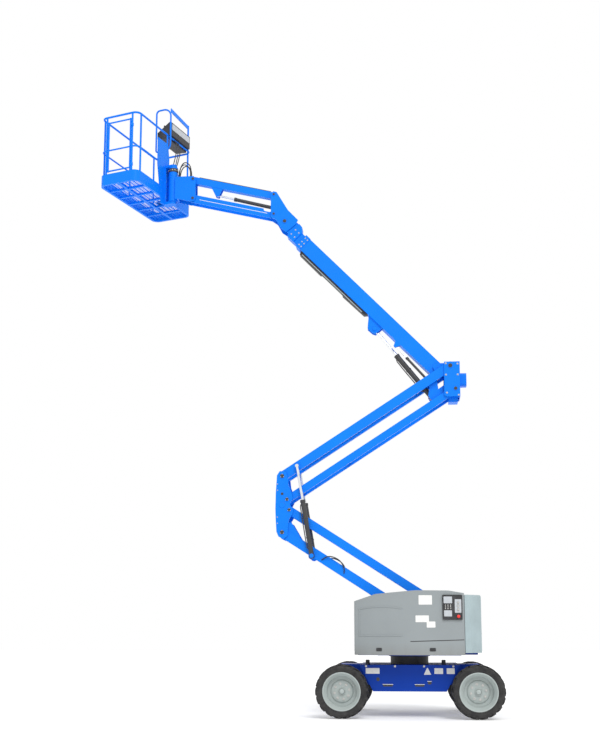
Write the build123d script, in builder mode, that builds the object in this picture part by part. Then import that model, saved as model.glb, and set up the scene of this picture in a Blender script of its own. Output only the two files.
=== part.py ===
"""Articulating boom lift with a jib: chassis, turntable, two risers, telescopic boom and platform.

Millimetres. The origin is on the ground under the slew axis, +Z is up, -X is the end the boom
reaches over and +X the counterweight end. -Y is the side with the ground controls.
"""

from build123d import *
from math import cos, radians, sin
import os

# Wheels and axles
wheel_base = 2030
wheel_track = 1960
tyre_radius = 400
tyre_width = 320
tread_depth = 22
bead_radius = 283
lug_count = 18
rim_lip_radius = 288
rim_well_radius = 228
hub_shaft_radius = 45
axle_radius = 62
axle_height = tyre_radius
running_gap = 0.4
seat_gap = 0.3

# Chassis
deck_top = 785
chassis_half_width = 750
chassis_bottom = 388
chassis_bottom_half = 555
chassis_top_half = 760
plate = 12
spine_half_width = 300
spine_bottom = 470
slew_ring_radius = 300
slew_ring_top = 905
slew_ring_gap = 0.5
tie_down_radius = 26
tie_down_reach = 50
tie_down_y = 240
tie_down_z = 675

# Steering
kingpin_y = 870
kingpin_radius = 24
steer_arm_x = 150
steer_arm_y = 75
rod_drop = -65
steer_rod_radius = 18

# Turntable
floor_bottom = 930
floor_top = 970
tower_half = 205
heavy_plate = 20
cover_front = -830
cover_rear = 830
cover_inboard = 245
cover_bottom = 938
cover_wall = 8
cover_front_y = 880
cover_middle_y = 1135
cover_rear_y = 1040
cover_hinge_y = 285
cover_hinge_z = 1828
hinge_pin_radius = 9
hinge_places = (-390, 40, 455)
hinge_start = -450
hinge_end = 575
weight_front = 836
bulge_middle = 120
panel_x = 650
panel_z = 1645
panel_width = 300
panel_height = 370
weight_rear = 1095
seam = 6

# Risers: one parallelogram under and one over the elbow
riser_length = 3276
riser_angle = 32.9
arm_depth = 150
link_depth = 130
upper_link_depth = 118
bar_inner = 130
bar_outer = 190
arm_pin_radius = 30
link_pin_radius = 24
riser_base = (732.6, 1094.5)
elbow_height = 918
lower_link_x = 115
lower_link_z = 363
upper_link_x = 80
upper_link_z = -382

# Riser cylinders, one on each side
riser_cylinder_y = 240
riser_cylinder_base = 616
riser_cylinder_drop = 61
riser_cylinder_eye = 292
riser_pin_radius = 22
# radius, bore, rod radius, length, eye width, pin radius
riser_cylinder = (38, 31, 22, 915, 64, riser_pin_radius)
riser_rod_length = 880

# Main boom, measured along it from its base pin; the three pins hang on the top of the upper arm
boom_pin_offset = (-218.6, -1.4)
lift_base_offset = (-302.6, -481.4)
level_base_offset = (-352.6, -221.4)
boom_angle = 45.8
boom_top = 95
boom_bottom = -145
boom_half_width = 95
boom_wall = 8
boom_tail = 90
boom_length = 3180
boom_mouth = 100
slide_gap = 0.5
lift_lug_x = 1200
lift_lug_drop = -240
level_lug_x = 745
level_lug_drop = -208
level_y = -72
lift_pin_radius = 24
level_pin_radius = 14
level_eye_width = 22
lift_cylinder = (42, 35, 25, 925, 84, lift_pin_radius)
lift_rod_length = 860
rod_eye_share = 1.28
level_cylinder = (20, 16, 11, 540, level_eye_width, level_pin_radius)
level_rod_length = 480

# Upper pivot
pivot_inner = 110

# Extension and its nose
extension_inner_end = 450
extension_gap = 7
nose_start = boom_length + 82
nose_pin_x = nose_start + 359
nose_pin_y = 17
nose_half_width = 98

# Jib
jib_length = 1450
jib_angle = 13.8
jib_depth = 116
jib_half_width = 52
jib_upper = (-187, 486)
jib_lower = (-187, 137)
jib_cylinder_base = (-207, 286)
jib_lug_x = 970
jib_lug_drop = -175
jib_pin_radius = 20
jib_mount_inner = 104
jib_mount_plate = 15
jib_cylinder = (30, 24, 17, 700, 60, jib_pin_radius)
jib_rod_length = 640
jib_link_depth = 140
jib_link_inner = 62
jib_link_outer = 82
jib_relief_x = 128
jib_relief_length = 64
jib_relief_depth = 40
jib_tip_inner = 88
jib_tip_plate = 14

# Rotator and platform, hung on the upper tip pin of the jib
rotator_reach = 366.6
rotator_drop = 369.7
rotator_length = 620
rotator_radius = 78
rotator_shaft_radius = 38
platform_turn = 18
platform_offset = 155
platform_depth = 760
platform_length = 1830
platform_floor_drop = 279.7
rail_height = 1230
rail_radius = 17
post_radius = 16
toe_wall = 5
rail_inset = toe_wall + 0.5 + rail_radius
toe_height = 150
floor_frame = 40
corner_radius = 120
platform_middle = -platform_offset - platform_depth / 2
guard_start = 75
guard_height = 1700
guard_depth = 290
guard_out = 60
gate_gap = 6
gate_low = 230
gate_high = rail_height - 110


def along(point, angle, distance):
    """Point at a distance from another one, in the XZ plane."""
    return (point[0] + distance * cos(radians(angle)), point[1] + distance * sin(radians(angle)))


def shifted(point, offset):
    return (point[0] + offset[0], point[1] + offset[1])


def side_plane(point=(0, 0), angle=0, y=0):
    """Plane seen from the side: its X runs along the angle and its Y points upwards."""
    facing = -1 if cos(radians(angle)) >= 0 else 1
    return Plane(
        origin=(point[0], y, point[1]),
        x_dir=(cos(radians(angle)), 0, sin(radians(angle))),
        z_dir=(0, facing, 0),
    )


def local_point(point, angle, x, y):
    """World XZ position of a point given along and above a member."""
    spot = side_plane(point, angle).from_local_coords(Vector(x, y, 0))
    return (spot.X, spot.Z)


def axis_plane(start, end, y):
    """Plane at the start of a cylinder, square to its axis."""
    return Plane(
        origin=(start[0], y, start[1]),
        x_dir=(0, 1, 0),
        z_dir=(end[0] - start[0], 0, end[1] - start[1]),
    )


# Pin positions, from the elbow outwards
lower_arm_base = riser_base
lower_arm_top = along(lower_arm_base, 180 - riser_angle, riser_length)
lower_link_top = shifted(lower_arm_top, (lower_link_x, lower_link_z))
upper_arm_low = shifted(lower_arm_top, (0, elbow_height))
upper_link_low = shifted(upper_arm_low, (upper_link_x, upper_link_z))
lower_link_base = along(lower_link_top, -riser_angle, riser_length)
upper_arm_top = along(upper_arm_low, riser_angle, riser_length)
upper_link_top = along(upper_link_low, riser_angle, riser_length)
riser_base_pin = local_point(lower_arm_top, -riser_angle, riser_cylinder_base, -riser_cylinder_drop)
riser_eye_pin = along(upper_arm_low, riser_angle, riser_cylinder_eye)
boom_bearing = 180 - boom_angle
boom_pin = shifted(upper_arm_top, boom_pin_offset)
lift_base = shifted(upper_arm_top, lift_base_offset)
level_base = shifted(upper_arm_top, level_base_offset)
lift_eye = local_point(boom_pin, boom_bearing, lift_lug_x, lift_lug_drop)
level_eye = local_point(boom_pin, boom_bearing, level_lug_x, level_lug_drop)
nose_pin = local_point(boom_pin, boom_bearing, nose_pin_x, nose_pin_y)
jib_upper_pin = shifted(nose_pin, jib_upper)
jib_lower_pin = shifted(nose_pin, jib_lower)
jib_bearing = 180 - jib_angle
jib_upper_tip = along(jib_upper_pin, jib_bearing, jib_length)
jib_lower_tip = along(jib_lower_pin, jib_bearing, jib_length)
jib_base_pin = shifted(nose_pin, jib_cylinder_base)
jib_eye = local_point(jib_upper_pin, jib_bearing, jib_lug_x, jib_lug_drop)
rotator_x = jib_upper_tip[0] - rotator_reach
rotator_bottom = jib_upper_tip[1] - rotator_drop
rotator_top = rotator_bottom + rotator_length
platform_floor_z = jib_upper_tip[1] - platform_floor_drop
elbow_pins = (
    (lower_arm_top, arm_pin_radius),
    (lower_link_top, link_pin_radius),
    (upper_link_low, link_pin_radius),
    (upper_arm_low, arm_pin_radius),
)
platform_frame = Plane(
    origin=(rotator_x, 0, platform_floor_z),
    x_dir=(cos(radians(platform_turn)), -sin(radians(platform_turn)), 0),
    z_dir=(0, 0, 1),
)


def save(part, name):
    part.label = name
    export_step(part, f"parts/{name}.step")
    return part


def make_chassis_frame():
    """Two side plates under a deck, on a spine that reaches both axles."""
    with BuildPart() as frame:
        for side in (-1, 1):
            with BuildSketch(side_plane(y=side * (chassis_half_width - plate / 2))):
                with BuildLine():
                    Polyline(
                        (-chassis_bottom_half, chassis_bottom),
                        (chassis_bottom_half, chassis_bottom),
                        (chassis_top_half, deck_top),
                        (-chassis_top_half, deck_top),
                        close=True,
                    )
                make_face()
            extrude(amount=plate / 2, both=True)
        with Locations((0, 0, deck_top - plate / 2)):
            Box(2 * chassis_top_half, 2 * chassis_half_width, plate)
        spine_height = deck_top - spine_bottom
        spine_length = wheel_base + 2 * axle_radius
        with Locations((0, 0, spine_bottom + spine_height / 2)):
            Box(spine_length, 2 * spine_half_width, spine_height)
        with Locations((0, 0, spine_bottom + spine_height / 2 - plate)):
            Box(
                spine_length - 2 * plate,
                2 * (spine_half_width - plate),
                spine_height,
                mode=Mode.SUBTRACT,
            )
        for x in (-chassis_bottom_half + plate, chassis_bottom_half - plate):
            for side in (-1, 1):
                web = chassis_half_width - spine_half_width
                with Locations((x, side * (spine_half_width + web / 2), (chassis_bottom + deck_top) / 2)):
                    Box(plate, web - 1, deck_top - chassis_bottom)
        seat = axle_height + axle_radius + seat_gap
        for x in (-wheel_base / 2, wheel_base / 2):
            for y in (-spine_half_width + 40, spine_half_width - 40):
                with Locations((x, y, (seat + spine_bottom + 20) / 2)):
                    Box(2 * axle_radius, 60, spine_bottom + 20 - seat)
        with Locations((-spine_length / 2, 0, spine_bottom + 40)):
            Box(4 * plate, 260, 130, mode=Mode.SUBTRACT)
        for x in (-1, 1):
            for side in (-1, 1):
                with BuildSketch(Plane.XY.offset(tie_down_z - heavy_plate / 2)):
                    with Locations((x * (spine_length / 2 + tie_down_reach), side * tie_down_y)):
                        Rectangle(2 * tie_down_reach + 4, 110)
                        Circle(tie_down_radius, mode=Mode.SUBTRACT)
                extrude(amount=heavy_plate)
    return frame.part


def make_slew_ring():
    with BuildPart() as ring:
        with BuildSketch(Plane.XY.offset(deck_top)):
            Circle(slew_ring_radius)
            Circle(slew_ring_radius - 90, mode=Mode.SUBTRACT)
        extrude(amount=slew_ring_top - slew_ring_gap - deck_top)
    return ring.part


def make_deck_bumpers():
    with BuildPart() as bumpers:
        with BuildSketch(Plane.XY.offset(deck_top)):
            with Locations((-640, -600), (520, -600)):
                Circle(32)
        extrude(amount=75)
        fillet(bumpers.faces().group_by(Axis.Z)[-1].edges(), 10)
    return bumpers.part


def make_drive_axle():
    """Axle tube with a differential housing and a wheel shaft at each end."""
    x = -wheel_base / 2
    half = wheel_track / 2
    with BuildPart() as axle:
        with BuildSketch(side_plane((x, axle_height))):
            Circle(axle_radius)
        extrude(amount=half - 180, both=True)
        with BuildSketch(side_plane((x, axle_height))):
            Circle(hub_shaft_radius)
        extrude(amount=half + 10, both=True)
        with BuildSketch(side_plane((x, axle_height))):
            Circle(150)
        extrude(amount=110, both=True)
        chamfer(axle.edges().filter_by(GeomType.CIRCLE).filter_by(lambda e: e.radius > 149), 35)
        for side in (-1, 1):
            with BuildSketch(side_plane((x, axle_height), y=side * (half - 150))):
                Circle(125)
            extrude(amount=25, both=True)
    return axle.part


def make_steer_axle():
    """Beam with a kingpin yoke at each end and the barrel of the steering cylinder."""
    x = wheel_base / 2
    yoke_height = 120
    with BuildPart() as axle:
        with Locations((x, 0, axle_height)):
            Box(110, 2 * (kingpin_y - 150), 2 * axle_radius)
        for side in (-1, 1):
            with Locations((x, side * (kingpin_y - 120), axle_height)):
                Box(40, 70, 2 * yoke_height)
            for level in (-1, 1):
                with Locations((x, side * (kingpin_y - 55), axle_height + level * (yoke_height - 14))):
                    Box(80, 180, 28)
            with Locations((x, side * kingpin_y, axle_height)):
                Cylinder(kingpin_radius, 2 * yoke_height)
            with Locations((x - steer_arm_x, side * 150, axle_height - 55)):
                Box(30, 16, 110)
            with Locations((x - steer_arm_x / 2 - 20, side * 150, axle_height - 45)):
                Box(steer_arm_x - 40, 16, 60)
        rod_height = axle_height + rod_drop
        with BuildSketch(side_plane((x - steer_arm_x, rod_height))):
            Circle(38)
        extrude(amount=210, both=True)
        with BuildSketch(side_plane((x - steer_arm_x, rod_height))):
            Circle(steer_rod_radius + running_gap)
        extrude(amount=220, both=True, mode=Mode.SUBTRACT)
    return axle.part


def make_knuckle(side):
    """Steer knuckle: kingpin barrel, wheel shaft and steering arm."""
    x = wheel_base / 2
    y = side * kingpin_y
    half_height = 90
    shaft_end = wheel_track / 2 + 10
    with BuildPart() as knuckle:
        with Locations((x, y, axle_height)):
            Cylinder(46, 2 * half_height)
        shaft = shaft_end - kingpin_y
        with Locations((x, side * (kingpin_y + shaft / 2), axle_height)):
            Cylinder(hub_shaft_radius, shaft, rotation=(90, 0, 0))
        with BuildSketch(Plane.XY.offset(axle_height - 38)):
            with BuildLine():
                Polyline(
                    (x - 42, y + side * 6),
                    (x - steer_arm_x - 24, y - side * (steer_arm_y - 20)),
                    (x - steer_arm_x - 20, y - side * (steer_arm_y + 16)),
                    (x - steer_arm_x + 20, y - side * (steer_arm_y + 20)),
                    (x - 16, y - side * 40),
                    (x + 20, y),
                    close=True,
                )
            make_face()
        extrude(amount=24)
        with Locations((x, y, axle_height)):
            Cylinder(kingpin_radius + running_gap, 2 * half_height, mode=Mode.SUBTRACT)
    return knuckle.part


def make_steering_rod():
    """Rod of the steering cylinder with a flat eye under each steering arm."""
    x = wheel_base / 2 - steer_arm_x
    z = axle_height + rod_drop
    reach = kingpin_y - steer_arm_y
    with BuildPart() as rod:
        with BuildSketch(side_plane((x, z))):
            Circle(steer_rod_radius)
        extrude(amount=reach, both=True)
        for side in (-1, 1):
            with Locations((x, side * reach, axle_height - 38 - 5 - 12)):
                Cylinder(28, 24)
    return rod.part


def tyre_section():
    """Half of a tyre's cross-section from the bead to the crown, as radius and half width."""
    crown = tyre_radius - tread_depth
    half = tyre_width / 2
    return [
        (rim_well_radius + 12 + seat_gap, half - 84),
        (bead_radius, half - 34),
        (bead_radius + 30, half - 6),
        (crown - 40, half),
        (crown, half - 35),
    ]


def make_tyre():
    """Lugged tyre about the Y axis: a carcass with two rows of slanted lugs."""
    crown = tyre_radius - tread_depth
    half_section = tyre_section()
    section = half_section + [(r, -w) for r, w in reversed(half_section)]
    with BuildPart() as tyre:
        with BuildSketch(Plane.XZ):
            with BuildLine():
                Polyline(*[(w, r) for r, w in section], close=True)
            make_face()
        revolve(axis=Axis.X)
        step = 360 / lug_count
        for row in (-1, 1):
            for index in range(lug_count):
                turn = index * step + (step / 2 if row > 0 else 0)
                lug_plane = Plane(
                    origin=(row * tyre_width / 4, 0, 0),
                    x_dir=(1, 0, 0),
                    z_dir=(0, sin(radians(turn)), cos(radians(turn))),
                )
                with BuildSketch(lug_plane.offset(crown - 12)):
                    Rectangle(tyre_width / 2 - 6, 46, rotation=row * 28)
                extrude(amount=tread_depth + 12 - 4.1)
    return tyre.part.rotate(Axis.Z, 90)


def make_rim():
    """Dished rim facing +Y: flared lips, a deep well and a bolted centre disc."""
    half = tyre_width / 2 - 20
    disc = -20
    with BuildPart() as rim:
        with BuildSketch(Plane.XZ):
            with BuildLine():
                Polyline(
                    (half, rim_lip_radius),
                    (half, bead_radius - 8),
                    (half - 70, rim_well_radius),
                    (disc + 12, rim_well_radius - 6),
                    (disc + 12, 175),
                    (disc + 30, 160),
                    (disc + 30, 60),
                    (disc + 60, 55),
                    (disc + 60, hub_shaft_radius + running_gap),
                    (disc - 6, hub_shaft_radius + running_gap),
                    (disc - 6, rim_well_radius - 6),
                    (-half + 40, rim_well_radius),
                    (-half, bead_radius - 12),
                    (-half, rim_lip_radius),
                    (-half + 7, rim_lip_radius),
                    (-half + 7, bead_radius - seat_gap),
                    (-half + 42, rim_well_radius + 12),
                    (half - 64, rim_well_radius + 12),
                    (half - 7, bead_radius - seat_gap),
                    (half - 7, rim_lip_radius),
                    close=True,
                )
            make_face()
        revolve(axis=Axis.X)
        with BuildSketch(Plane.YZ.offset(disc + 28)):
            with PolarLocations(115, 8):
                RegularPolygon(13, 6)
        extrude(amount=14)
    return rim.part.rotate(Axis.Z, 90)


def cover_block(side, gap):
    """Outer form of one cover, drawn inside its outer face by a gap."""
    front = cover_front + gap
    rear = cover_rear - gap
    with BuildPart() as block:
        with BuildSketch(Plane.XY.offset(cover_bottom - 3 * gap)):
            with BuildLine():
                Polyline(
                    (front, side * (cover_front_y - gap)),
                    (front, side * (cover_inboard - gap)),
                    (rear, side * (cover_inboard - gap)),
                    (rear, side * (cover_rear_y - gap)),
                )
                ThreePointArc(
                    (rear, side * (cover_rear_y - gap)),
                    (bulge_middle, side * (cover_middle_y - gap)),
                    (front, side * (cover_front_y - gap)),
                )
            make_face()
        extrude(amount=1100)
        corner = block.edges().filter_by(Axis.Z).sort_by(Axis.X)[:2].sort_by(Axis.Y)[0 if side < 0 else -1]
        fillet(corner, 60 - gap)
        with BuildSketch(side_plane()):
            with BuildLine():
                Polyline(
                    (front - 50, cover_bottom - 200),
                    (front - 50, 1738 - gap),
                    (front, 1745 - gap),
                    (-500, 1850 - gap),
                    (100, 1900 - gap),
                    (600, 1895 - gap),
                    (rear + 50, 1850 - gap),
                    (rear + 50, cover_bottom - 200),
                    close=True,
                )
            make_face()
        extrude(amount=1500, both=True, mode=Mode.INTERSECT)
    return block.part


def crown_height(x):
    """Height of a cover's top at a place along it."""
    if x < 100:
        return 1850 + (x + 500) / 12
    return 1900 - (x - 100) / 100


def make_cover(side):
    """Moulded cover of one side of the turntable, open below and inboard, hinged at the top."""
    outer = cover_block(side, 0)
    inner = cover_block(side, cover_wall)
    with BuildPart() as cover:
        add(outer)
        add(inner, mode=Mode.SUBTRACT)
        for x in hinge_places:
            with BuildSketch(Plane(origin=(x, 0, 0), x_dir=(0, 1, 0), z_dir=(1, 0, 0))):
                with Locations((side * cover_hinge_y, cover_hinge_z)):
                    Circle(16)
                    Circle(hinge_pin_radius + running_gap, mode=Mode.SUBTRACT)
            extrude(amount=60)
            rib = crown_height(x) - cover_hinge_z - 14
            with Locations((x + 30, side * cover_hinge_y, cover_hinge_z + 13 + rib / 2)):
                Box(60, 12, rib)
        for x in (hinge_start + 15, hinge_end - 15):
            with Locations((x, side * (cover_inboard + cover_hinge_y + 22) / 2, cover_hinge_z)):
                Box(42, cover_hinge_y + 22 - cover_inboard + 4, 300, mode=Mode.SUBTRACT)
    return cover.part


def bulge_point(x):
    """Plan position and outward direction of the near cover's face at a place along it."""
    (x1, y1), (x2, y2), (x3, y3) = (
        (cover_front, cover_front_y),
        (bulge_middle, cover_middle_y),
        (cover_rear, cover_rear_y),
    )
    cross = 2 * (x1 * (y2 - y3) + x2 * (y3 - y1) + x3 * (y1 - y2))
    first, second, third = x1**2 + y1**2, x2**2 + y2**2, x3**2 + y3**2
    cx = (first * (y2 - y3) + second * (y3 - y1) + third * (y1 - y2)) / cross
    cy = (first * (x3 - x2) + second * (x1 - x3) + third * (x2 - x1)) / cross
    radius = ((x1 - cx) ** 2 + (y1 - cy) ** 2) ** 0.5
    y = cy + (radius**2 - (x - cx) ** 2) ** 0.5
    return Vector(x, -y, 0), Vector(x - cx, cy - y, 0).normalized()


def make_ground_panel():
    """Ground control panel on the rear of the near cover."""
    spot, outward = bulge_point(panel_x)
    origin = spot + outward * seat_gap + Vector(0, 0, panel_z)
    with BuildPart() as panel:
        with BuildSketch(Plane(origin=origin, x_dir=(-outward.Y, outward.X, 0), z_dir=outward)):
            RectangleRounded(panel_width, panel_height, 12)
        extrude(amount=16)
    return panel.part


def make_turntable_frame():
    """Base plate, riser towers beside the channel, cover hinge rails and riser base pins."""
    bx, bz = lower_arm_base
    tx, tz = lower_link_base
    with BuildPart() as frame:
        with BuildSketch(Plane.XY.offset(slew_ring_top)):
            Circle(slew_ring_radius + 25)
        extrude(amount=floor_bottom - slew_ring_top)
        with BuildSketch(Plane.XY.offset(floor_bottom)):
            Rectangle(1560, 1500)
            with Locations((150, 0)):
                Rectangle(1250, 1900)
            with Locations(((770 + weight_rear - 30) / 2, 0)):
                Rectangle(weight_rear - 30 - 770, 2 * cover_inboard - 10)
        extrude(amount=floor_top - floor_bottom)
        for side in (-1, 1):
            with BuildSketch(side_plane(y=side * tower_half)):
                with BuildLine():
                    Polyline(
                        (-780, floor_top - 5),
                        (weight_front - seam, floor_top - 5),
                        (weight_front - seam, 1300),
                        (tx + 95, tz - 60),
                        (tx + 95, tz + 40),
                        (tx + 40, tz + 90),
                        (tx - 70, tz + 90),
                        (bx - 330, 1200),
                        (-500, 1120),
                        (-780, 1120),
                        close=True,
                    )
                make_face()
            extrude(amount=heavy_plate / 2, both=True)
            for x in (hinge_start + 15, hinge_end - 15):
                with Locations((x, side * (tower_half + 20), (floor_top + cover_hinge_z) / 2)):
                    Box(30, 20, cover_hinge_z - floor_top)
                with Locations((x, side * (tower_half + 10 + cover_hinge_y + 14) / 2, cover_hinge_z)):
                    Box(30, cover_hinge_y + 14 - tower_half - 10, 28)
            with BuildSketch(Plane(origin=(hinge_start, 0, 0), x_dir=(0, 1, 0), z_dir=(1, 0, 0))):
                with Locations((side * cover_hinge_y, cover_hinge_z)):
                    Circle(hinge_pin_radius)
            extrude(amount=hinge_end - hinge_start)
        for point, radius in ((lower_arm_base, arm_pin_radius), (lower_link_base, link_pin_radius)):
            with BuildSketch(side_plane(point)):
                Circle(radius)
            extrude(amount=tower_half, both=True)
            for side in (-1, 1):
                with BuildSketch(side_plane(point, y=side * (tower_half + 14))):
                    Circle(radius + 14)
                extrude(amount=6, both=True)
    return frame.part


def make_counterweight():
    """Cast weight across the rear of the turntable, cut away where the risers fold down."""
    with BuildPart() as weight:
        with BuildSketch(Plane.XY.offset(floor_top)):
            with BuildLine():
                Polyline(
                    (weight_front, -cover_rear_y + 6),
                    (weight_front, cover_rear_y - 6),
                    (weight_front + 90, cover_rear_y - 30),
                    (weight_rear, 800),
                    (weight_rear, -800),
                    (weight_front + 90, -cover_rear_y + 30),
                    close=True,
                )
            make_face()
        extrude(amount=1835 - floor_top)
        fillet(weight.edges().filter_by(Axis.Z).sort_by(Axis.X)[-2:], 60)
        fillet(weight.faces().sort_by(Axis.Z)[-1].edges().sort_by(Axis.X)[-1], 30)
        with Locations((weight_rear - 300, 0, 1800)):
            Box(700, 2 * tower_half + 60, 1000, mode=Mode.SUBTRACT)
        with Locations((weight_front, 0, 1300)):
            Box(2 * 110, 2 * tower_half + 60, 3 * 1300, mode=Mode.SUBTRACT)
    return weight.part


def make_engine_block():
    with BuildPart() as engine:
        with Locations((-80, 620, floor_top + 260)):
            Box(760, 440, 520)
    return engine.part


def twin_bar(start, angle, depth, pin_start, pin_end, inner=bar_inner, outer=bar_outer):
    """Pair of round-ended bars bored for a pin at each end."""
    middle = local_point(start, angle, riser_length / 2, 0)
    with BuildPart() as bars:
        for side in (-1, 1):
            with BuildSketch(side_plane(middle, angle, side * (inner + outer) / 2)):
                SlotCenterToCenter(riser_length, depth)
                with Locations((-riser_length / 2, 0)):
                    Circle(pin_start + running_gap, mode=Mode.SUBTRACT)
                with Locations((riser_length / 2, 0)):
                    Circle(pin_end + running_gap, mode=Mode.SUBTRACT)
            extrude(amount=(outer - inner) / 2, both=True)
    return bars.part


def make_lower_arm():
    """Lower riser arm: two bars with a gusset at the elbow and cross tubes."""
    with BuildPart() as arm:
        add(twin_bar(lower_arm_top, -riser_angle, arm_depth, arm_pin_radius, arm_pin_radius))
        for side in (-1, 1):
            with BuildSketch(side_plane(lower_arm_top, -riser_angle, side * (bar_outer - 14))):
                with BuildLine():
                    Polyline((20, 60), (10, 200), (45, 215), (330, 70), close=True)
                make_face()
            extrude(amount=10, both=True)
        for part in (0.23, 0.52, 0.79):
            spot = local_point(lower_arm_top, -riser_angle, riser_length * part, 0)
            with BuildSketch(side_plane(spot)):
                Circle(42)
            extrude(amount=bar_inner + 5, both=True)
    return arm.part


def make_riser_pins():
    """Bosses on both sides of the lower arm with the base pins of the riser cylinders."""
    with BuildPart() as pins:
        for side in (-1, 1):
            for radius, low, high in (
                (58, 0, 7),
                (riser_pin_radius, 0, 95),
                (riser_pin_radius + 12, 90, 100),
            ):
                middle = side * (bar_outer + (low + high) / 2)
                with BuildSketch(side_plane(riser_base_pin, -riser_angle, middle)):
                    Circle(radius)
                extrude(amount=(high - low) / 2, both=True)
    return pins.part


def make_link(start, angle, depth, tube_places):
    """Tie link: two thinner bars with cross tubes."""
    with BuildPart() as link:
        add(twin_bar(start, angle, depth, link_pin_radius, link_pin_radius, bar_inner + 8, bar_outer - 8))
        for x in tube_places:
            spot = local_point(start, angle, x, 0)
            with BuildSketch(side_plane(spot)):
                Circle(32)
            extrude(amount=bar_inner + 12, both=True)
    return link.part


def make_upper_arm():
    """Upper riser arm: two bars that let the main boom fold down between them."""
    with BuildPart() as arm:
        add(twin_bar(upper_arm_low, riser_angle, arm_depth, arm_pin_radius, arm_pin_radius))
        for side in (-1, 1):
            with BuildSketch(side_plane(riser_eye_pin, riser_angle, side * (bar_outer + 5))):
                Circle(56)
            extrude(amount=7, both=True)
    return arm.part


def make_mid_link():
    """Elbow: two C-shaped plates with stub pins for the four bars and a web along the back."""
    ex, ez = lower_arm_top
    with BuildPart() as elbow:
        for side in (-1, 1):
            with BuildSketch(side_plane((ex, ez), y=side * tower_half)):
                with BuildLine():
                    Polyline(
                        (-58, -70),
                        (-92, 10),
                        (-104, 200),
                        (-110, 380),
                        (-104, 640),
                        (-86, 930),
                        (-40, 1000),
                        (60, 990),
                        (92, 880),
                        (104, 770),
                        (160, 620),
                        (170, 540),
                        (125, 450),
                        (180, 370),
                        (165, 290),
                        (110, 200),
                        (96, 80),
                        (90, -60),
                        (20, -110),
                        close=True,
                    )
                make_face()
            extrude(amount=heavy_plate / 2, both=True)
            for point, radius in elbow_pins:
                with BuildSketch(side_plane(point, y=side * (tower_half + bar_inner) / 2)):
                    Circle(radius)
                extrude(amount=(tower_half - bar_inner) / 2 + 3, both=True)
                with BuildSketch(side_plane(point, y=side * (tower_half + 12))):
                    Circle(radius + 10)
                extrude(amount=5, both=True)
        with Locations((ex - 85, 0, ez + 400)):
            Box(14, 2 * tower_half, 480)
        with BuildSketch(side_plane((ex, ez + 445))):
            Circle(46)
        extrude(amount=tower_half + 16, both=True)
    return elbow.part


def pivot_outline(inner):
    """Side view of the upper pivot's plates; the inner ones reach out to the boom's pins."""
    x, z = upper_arm_top
    if inner:
        return [
            (x + 150, z + 66),
            (x - 150, z + 66),
            (boom_pin[0] - 30, boom_pin[1] + 62),
            (boom_pin[0] - 66, boom_pin[1] + 10),
            (boom_pin[0] - 30, boom_pin[1] - 62),
            (x - 90, z - 120),
            (x - 90, z - 290),
            (lift_base[0] + 40, lift_base[1] + 70),
            (level_base[0] + 20, level_base[1] - 60),
            (lift_base[0] - 60, lift_base[1] + 10),
            (lift_base[0] - 20, lift_base[1] - 60),
            (x, z - 510),
            (x + 150, z - 510),
        ]
    return [
        (x + 140, z + 66),
        (x - 100, z + 66),
        (x - 104, z - 492),
        (x - 60, z - 512),
        (x + 152, z - 512),
        (x + 152, z + 54),
    ]


def make_upper_pivot():
    """Upper pivot: a box of plates that joins both upper bars, the boom and its cylinders."""
    x, z = upper_arm_top
    with BuildPart() as pivot:
        for side in (-1, 1):
            for inner in (False, True):
                y = pivot_inner if inner else tower_half
                with BuildSketch(side_plane(y=side * y)):
                    with BuildLine():
                        Polyline(*pivot_outline(inner), close=True)
                    make_face()
                extrude(amount=heavy_plate / 2, both=True)
            for point, radius in ((upper_arm_top, arm_pin_radius), (upper_link_top, link_pin_radius)):
                with BuildSketch(side_plane(point, y=side * (pivot_inner + tower_half) / 2)):
                    Circle(radius)
                extrude(amount=(tower_half - pivot_inner) / 2, both=True)
                with BuildSketch(side_plane(point, y=side * (tower_half + 12))):
                    Circle(radius + 10)
                extrude(amount=5, both=True)
        with Locations((x + 147, 0, z - 223)):
            Box(12, 2 * tower_half, 578)
        with BuildSketch(side_plane(boom_pin)):
            Circle(arm_pin_radius)
        extrude(amount=pivot_inner, both=True)
        with BuildSketch(side_plane(lift_base)):
            Circle(lift_pin_radius)
        extrude(amount=pivot_inner, both=True)
        with BuildSketch(side_plane(level_base, y=-(pivot_inner - 20))):
            Circle(level_pin_radius)
        extrude(amount=30, both=True)
        with BuildSketch(side_plane(level_base, y=-pivot_inner)):
            Circle(30)
            with BuildLine():
                Polyline(
                    (20, 25),
                    (130, 60),
                    (160, -180),
                    (40, -200),
                    (-26, -15),
                    close=True,
                )
            make_face()
        extrude(amount=heavy_plate / 2, both=True)
        with BuildSketch(Plane(origin=(x + 150, 0, z - 206), x_dir=(0, 1, 0), z_dir=(1, 0, 0))):
            RectangleRounded(190, 218, 45)
        extrude(amount=112)
        with Locations((x + 40, 0, z - 545)):
            Box(150, 2 * pivot_inner, 80)
    return pivot.part


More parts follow.
